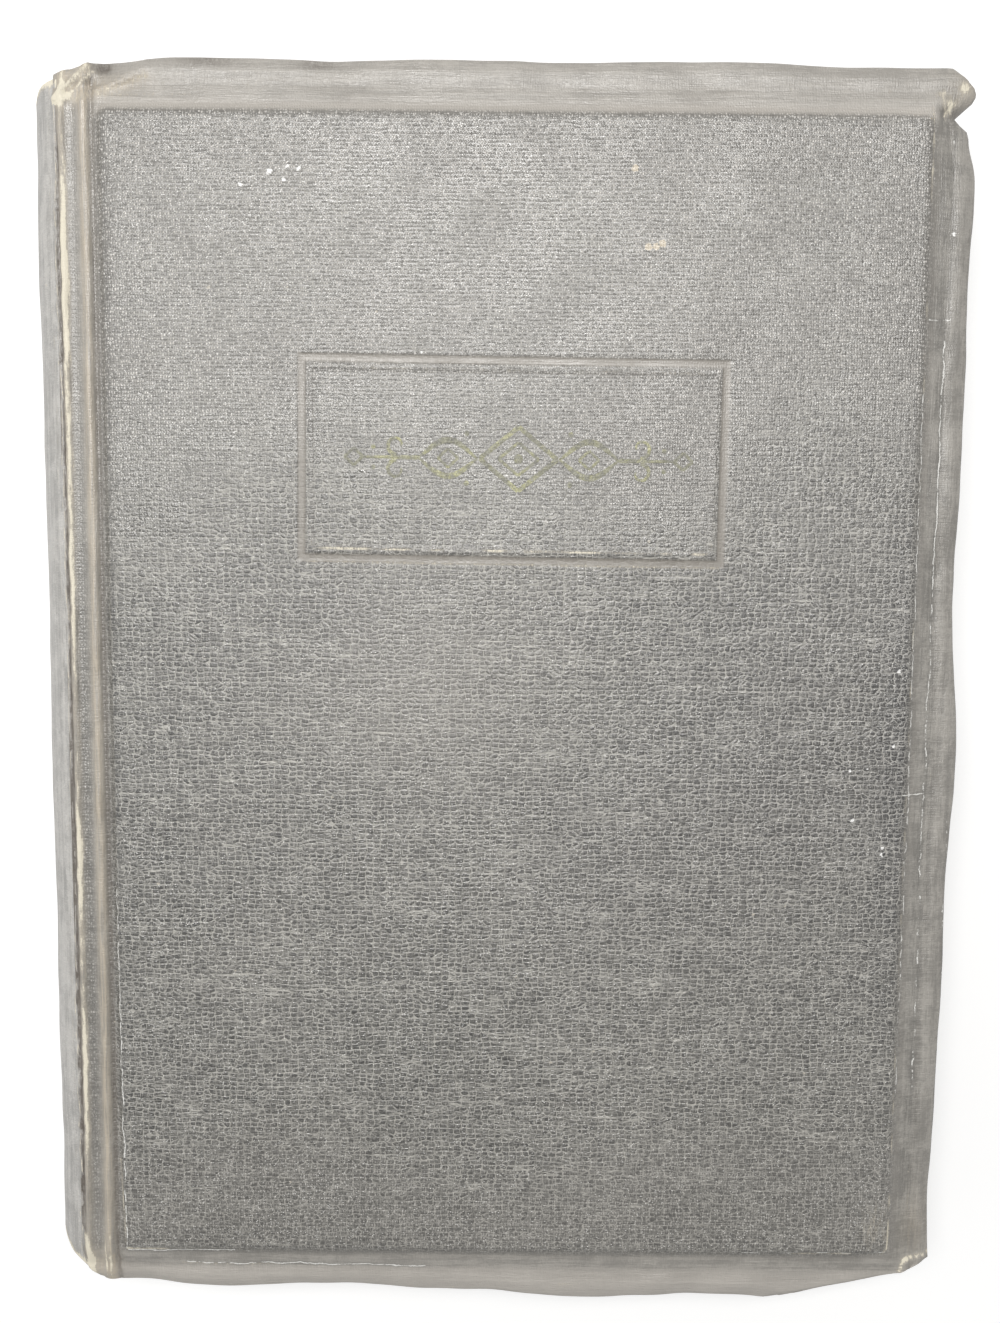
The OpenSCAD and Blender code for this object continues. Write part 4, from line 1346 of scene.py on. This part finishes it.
def cover_grid(strip_step, step, row_step, fine_columns=(), fine_rows=()):
    """Columns and rows of a cover's grid: fine on the joint strip and by the tooled frame."""
    columns = np.concatenate([np.arange(-112.9, -100.3, strip_step),
                              stations(-100.2, CORE_X, step, fine_columns)])
    return columns, stations(-CORE_Y, CORE_Y, row_step, fine_rows)


def make_covers():
    grids = {
        "front": cover_grid(0.35, 1.4, 1.45, [(-54, -45.5), (56.5, 64)],
                            [(34.5, 43.5), (85.5, 94)]),
        "back": cover_grid(0.45, 2.2, 2.4)}
    for side, seed in COVER_SEEDS.items():
        form = CoverForm(seed, side == "front")
        columns, rows = grids[side]
        skin = cover_skin(side + "_cover_leather", form, columns, rows, LEATHER)
        if form.front:
            make_title_ornament(form)
        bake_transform(skin)
        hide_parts(side + "_leatherette")


def make_edge_cards():
    """The limp card inside the soft edges, between the leatherette and its turned-in part."""
    columns = np.linspace(FOLD_X + 1.4, CORE_X, 60)
    rows = np.linspace(-CORE_Y, CORE_Y, 80)
    reaches = np.array([0.2, 2, 4, 5.5, 7, 8.2, 9.2])
    depth, thickness = 0.8, 0.7
    for side, seed in COVER_SEEDS.items():
        form = CoverForm(seed, side == "front")
        rings = []
        for reach in reaches:
            x, y, across, along = ring_plan(columns, rows, INNER + reach)
            d = np.full(len(x), reach)
            z = FOOT_Z + soft_rise(d) + spine_drop(x) - depth
            z = z + form.edge_unevenness(x, y, d) * ease(d, 0, 2)
            z = z - 1.5 * form.end_hollow(x, y)
            rings.append(form.outline(x, y, z, d, across, along))
        outer = np.concatenate(rings)
        points = np.concatenate([outer, outer - (0, 0, thickness)])
        faces = layer_faces(len(reaches), len(rings[0]))
        if not form.front:
            points[:, 2] = TOTAL_T - points[:, 2]
            faces = [face[::-1] for face in faces]
        card = new_piece(side + "_edge_card", points, faces, LIMP_CARD, unfaded(points),
                         smooth=False)
        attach(card, side + "_cover")
        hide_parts(side + "_edge_core")


def make_spine():
    skin = spine_sheet("spine_leather", outer=SPINE_R, thickness=1.6, inset=0,
                       material=SPINE_LEATHER, steps_round=120, seed=71, crack=0.9)
    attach(skin, "block")
    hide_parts("spine_leatherette")
    liner = spine_sheet("spine_card", outer=SPINE_R - 1.7, thickness=0.7, inset=2.2,
                        material=LIMP_CARD, steps_round=40, seed=73, crack=0)
    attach(liner, "block")
    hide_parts("spine_liner")


def make_leaves():
    """The flyleaves and album leaves, each with the cloth that hinges it to its stub."""
    for i, name in enumerate(SHEET_NAMES):
        flyleaf = name.endswith("flyleaf")
        thickness = FLYLEAF_T if flyleaf else LEAF_T
        paper = LINING_PAPER if flyleaf else LEAF_PAPER
        z = sheet_z(i)
        uneven_trim = 0.35 * math.sin(i * 2.4)
        sheet = flat_sheet(name + "_sheet", LEAF_X, LEAF_X + LEAF_W + uneven_trim, -LEAF_HALF,
                           LEAF_HALF, z, thickness, paper, 100 + i)
        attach(sheet, name)
        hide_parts(name)
        top = z + (thickness / 2 + CLOTH_LIFT)
        profile = [(STUB_X + 19 * t, z) for t in np.linspace(0, 0.93, 22)]
        profile += [(LEAF_X - 0.4, z + 0.12)]
        profile += [(LEAF_X + lap, top) for lap in (0.3, 1.5, 4, 7)]
        hinge = strip_along(name + "_hinge_cloth", profile, -LEAF_HALF + 2, LEAF_HALF - 2,
                            CLOTH_T, BOOK_CLOTH, 300 + i)
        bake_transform(hinge)
        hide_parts("leaf_hinges")


def on_side(profile, side):
    """The section of a front piece, turned over for the back."""
    if side == "front":
        return profile
    return [(x, TOTAL_T - z) for x, z in profile]


def make_linings():
    """The paper inside each cover, from the joint strip over the board and the turned-in edge."""
    under_board = TOTAL_T - COVER_T - LINING_T / 2
    strip_z = FOOT_Z - 1.25
    board_x = -100.0
    right = PANEL_RIGHT - TURN_IN + LINING_LAP
    top = PANEL_END - TURN_IN + LINING_LAP
    for side in ("front", "back"):
        profile = [(FOLD_X + 1.3, strip_z), (FOLD_X + 5, strip_z), (-101.2, strip_z),
                   (-100.5, strip_z - 0.3), (board_x + 0.1, under_board)]
        profile += [(x, under_board) for x in np.linspace(board_x + 1, right, 40)]
        lining = strip_along(side + "_endpaper", on_side(profile, side), -top, top, LINING_T,
                             LINING_PAPER, 500, 50)
        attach(lining, side + "_cover")
        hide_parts(side + "_lining")


def make_joint_papers():
    """Paper that crosses each hinge fold, from the top of the stubs to the cover's strip."""
    stub_top = BLOCK_Z + SHEETS * PITCH
    under_strip = FOOT_Z - 1.5
    middle = (stub_top + under_strip + 0.2) / 2
    bend = (under_strip - stub_top - 0.2) / 2
    back_x = FOLD_X + 1.2
    for side in ("front", "back"):
        profile = [(x, middle - bend) for x in np.linspace(STUB_X - 1, back_x, 16)]
        profile += [(back_x - bend * math.sin(a), middle - bend * math.cos(a))
                    for a in np.linspace(0, math.pi, 12)[1:-1]]
        profile += [(x, middle + bend) for x in np.linspace(back_x, FOLD_X + 9.4, 10)]
        top = PANEL_END - TURN_IN - 2
        paper = strip_along(side + "_joint_paper", on_side(profile, side), -top, top,
                            JOINT_PAPER_T, LINING_PAPER, 520)
        low, high = middle - bend * 0.8, middle + bend * 0.8
        if side == "back":
            low, high = TOTAL_T - low, TOTAL_T - high
        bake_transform(paper)
        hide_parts(side + "_lining")


def ribbon(points, faces, form, line, widths):
    """Adds a thin stroke along line, a little raised, lying on the front panel."""
    line = np.asarray(line, float)
    run = np.gradient(line, axis=0)
    normal = np.stack([-run[:, 1], run[:, 0]], -1)
    normal /= np.maximum(np.linalg.norm(normal, axis=1), 1e-9)[:, None]
    shares = np.linspace(-0.5, 0.5, 4)
    first = len(points)
    for place, across, width in zip(line, normal, widths):
        for share in shares:
            x, y = place + across * width * share
            height = form.top(np.array([x]), np.array([y]), np.array([-20.0]))[0]
            points.append((x, y, height + 0.05 - 0.1 * abs(share) ** 2))
    for i in range(len(line) - 1):
        for j in range(len(shares) - 1):
            a = first + i * len(shares) + j
            b = a + len(shares)
            faces.append((a, b, b + 1, a + 1)[::-1])


def make_title_ornament(form):
    """A plain traditional rule of lozenges, scrolls and dots in the tooled frame."""
    points, faces = [], []
    middle_x, middle_y = 6.0, 64.9
    cos_turn, sin_turn = math.cos(FRAME_TURN), math.sin(FRAME_TURN)

    def draw(line, widths):
        """A stroke in the ornament's own plan, as places from its middle."""
        across, along = np.asarray(line, float).T
        x = middle_x + across * cos_turn - along * sin_turn
        y = middle_y + across * sin_turn + along * cos_turn
        ribbon(points, faces, form, np.stack([x, y], -1), widths)

    def lozenge(x, half_w, half_h, width):
        corners = [(x - half_w, 0), (x, half_h), (x + half_w, 0), (x, -half_h)]
        for a, b in zip(corners, corners[1:] + corners[:1]):
            t = np.linspace(0, 1, 8)[:, None]
            draw(np.array(a) + (np.array(b) - np.array(a)) * t, np.full(8, width))

    def dot(x, y, r):
        t = np.linspace(-1, 1, 9)
        draw(np.stack([x + r * t, np.full(9, y)], -1), 2 * r * np.sqrt(1.02 - t ** 2))

    lozenge(0, 10, 8.2, 1.2)
    lozenge(0, 5.2, 4.2, 0.8)
    dot(0, 0, 1.2)
    for side in (-1, 1):
        t = np.linspace(0, 1, 40)
        for flip in (-1, 1):
            x = 10.5 + 15.5 * t
            y = flip * (4.6 * np.sin(np.pi * t) ** 1.2)
            draw(np.stack([side * x, y], -1), 0.5 + 1.1 * np.sin(np.pi * t))
            turn_t = np.linspace(0, 1.6 * np.pi, 40)
            r = 2.6 * (1 - turn_t / 9)
            draw(np.stack([side * (31.5 + r * np.sin(turn_t)),
                           flip * (3.2 - r * np.cos(turn_t))], -1),
                 1.1 - 0.12 * turn_t)
        lozenge(side * 18.2, 2.6, 2.4, 0.7)
        t = np.linspace(26, 41, 30)
        draw(np.stack([side * t, np.zeros(30)], -1), np.linspace(1.2, 0.5, 30))
        lozenge(side * 42.5, 2.4, 2.2, 0.8)
        for x, y, r in ((13.4, 6.4, 0.7), (37.5, 2.6, 0.6)):
            dot(side * x, y, r)
            dot(side * x, -y, r)
    ornament = new_piece("title_ornament", points, faces, GILT)
    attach(ornament, "front_cover")


make_covers()
make_edge_cards()
make_spine()
make_leaves()
make_linings()
make_joint_papers()

# Solids of the part's source that are shown as they are, with a finish.
SHOWN_SOLIDS = {
    "front_board": BOARD, "back_board": BOARD, "binding_stubs": STUB_CARD,
    "spine_mull": MULL_CLOTH, "sewing_thread": LINEN_THREAD,
}
for node_name, finish in SHOWN_SOLIDS.items():
    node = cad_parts[node_name]
    node.data.materials.clear()
    node.data.materials.append(finish)
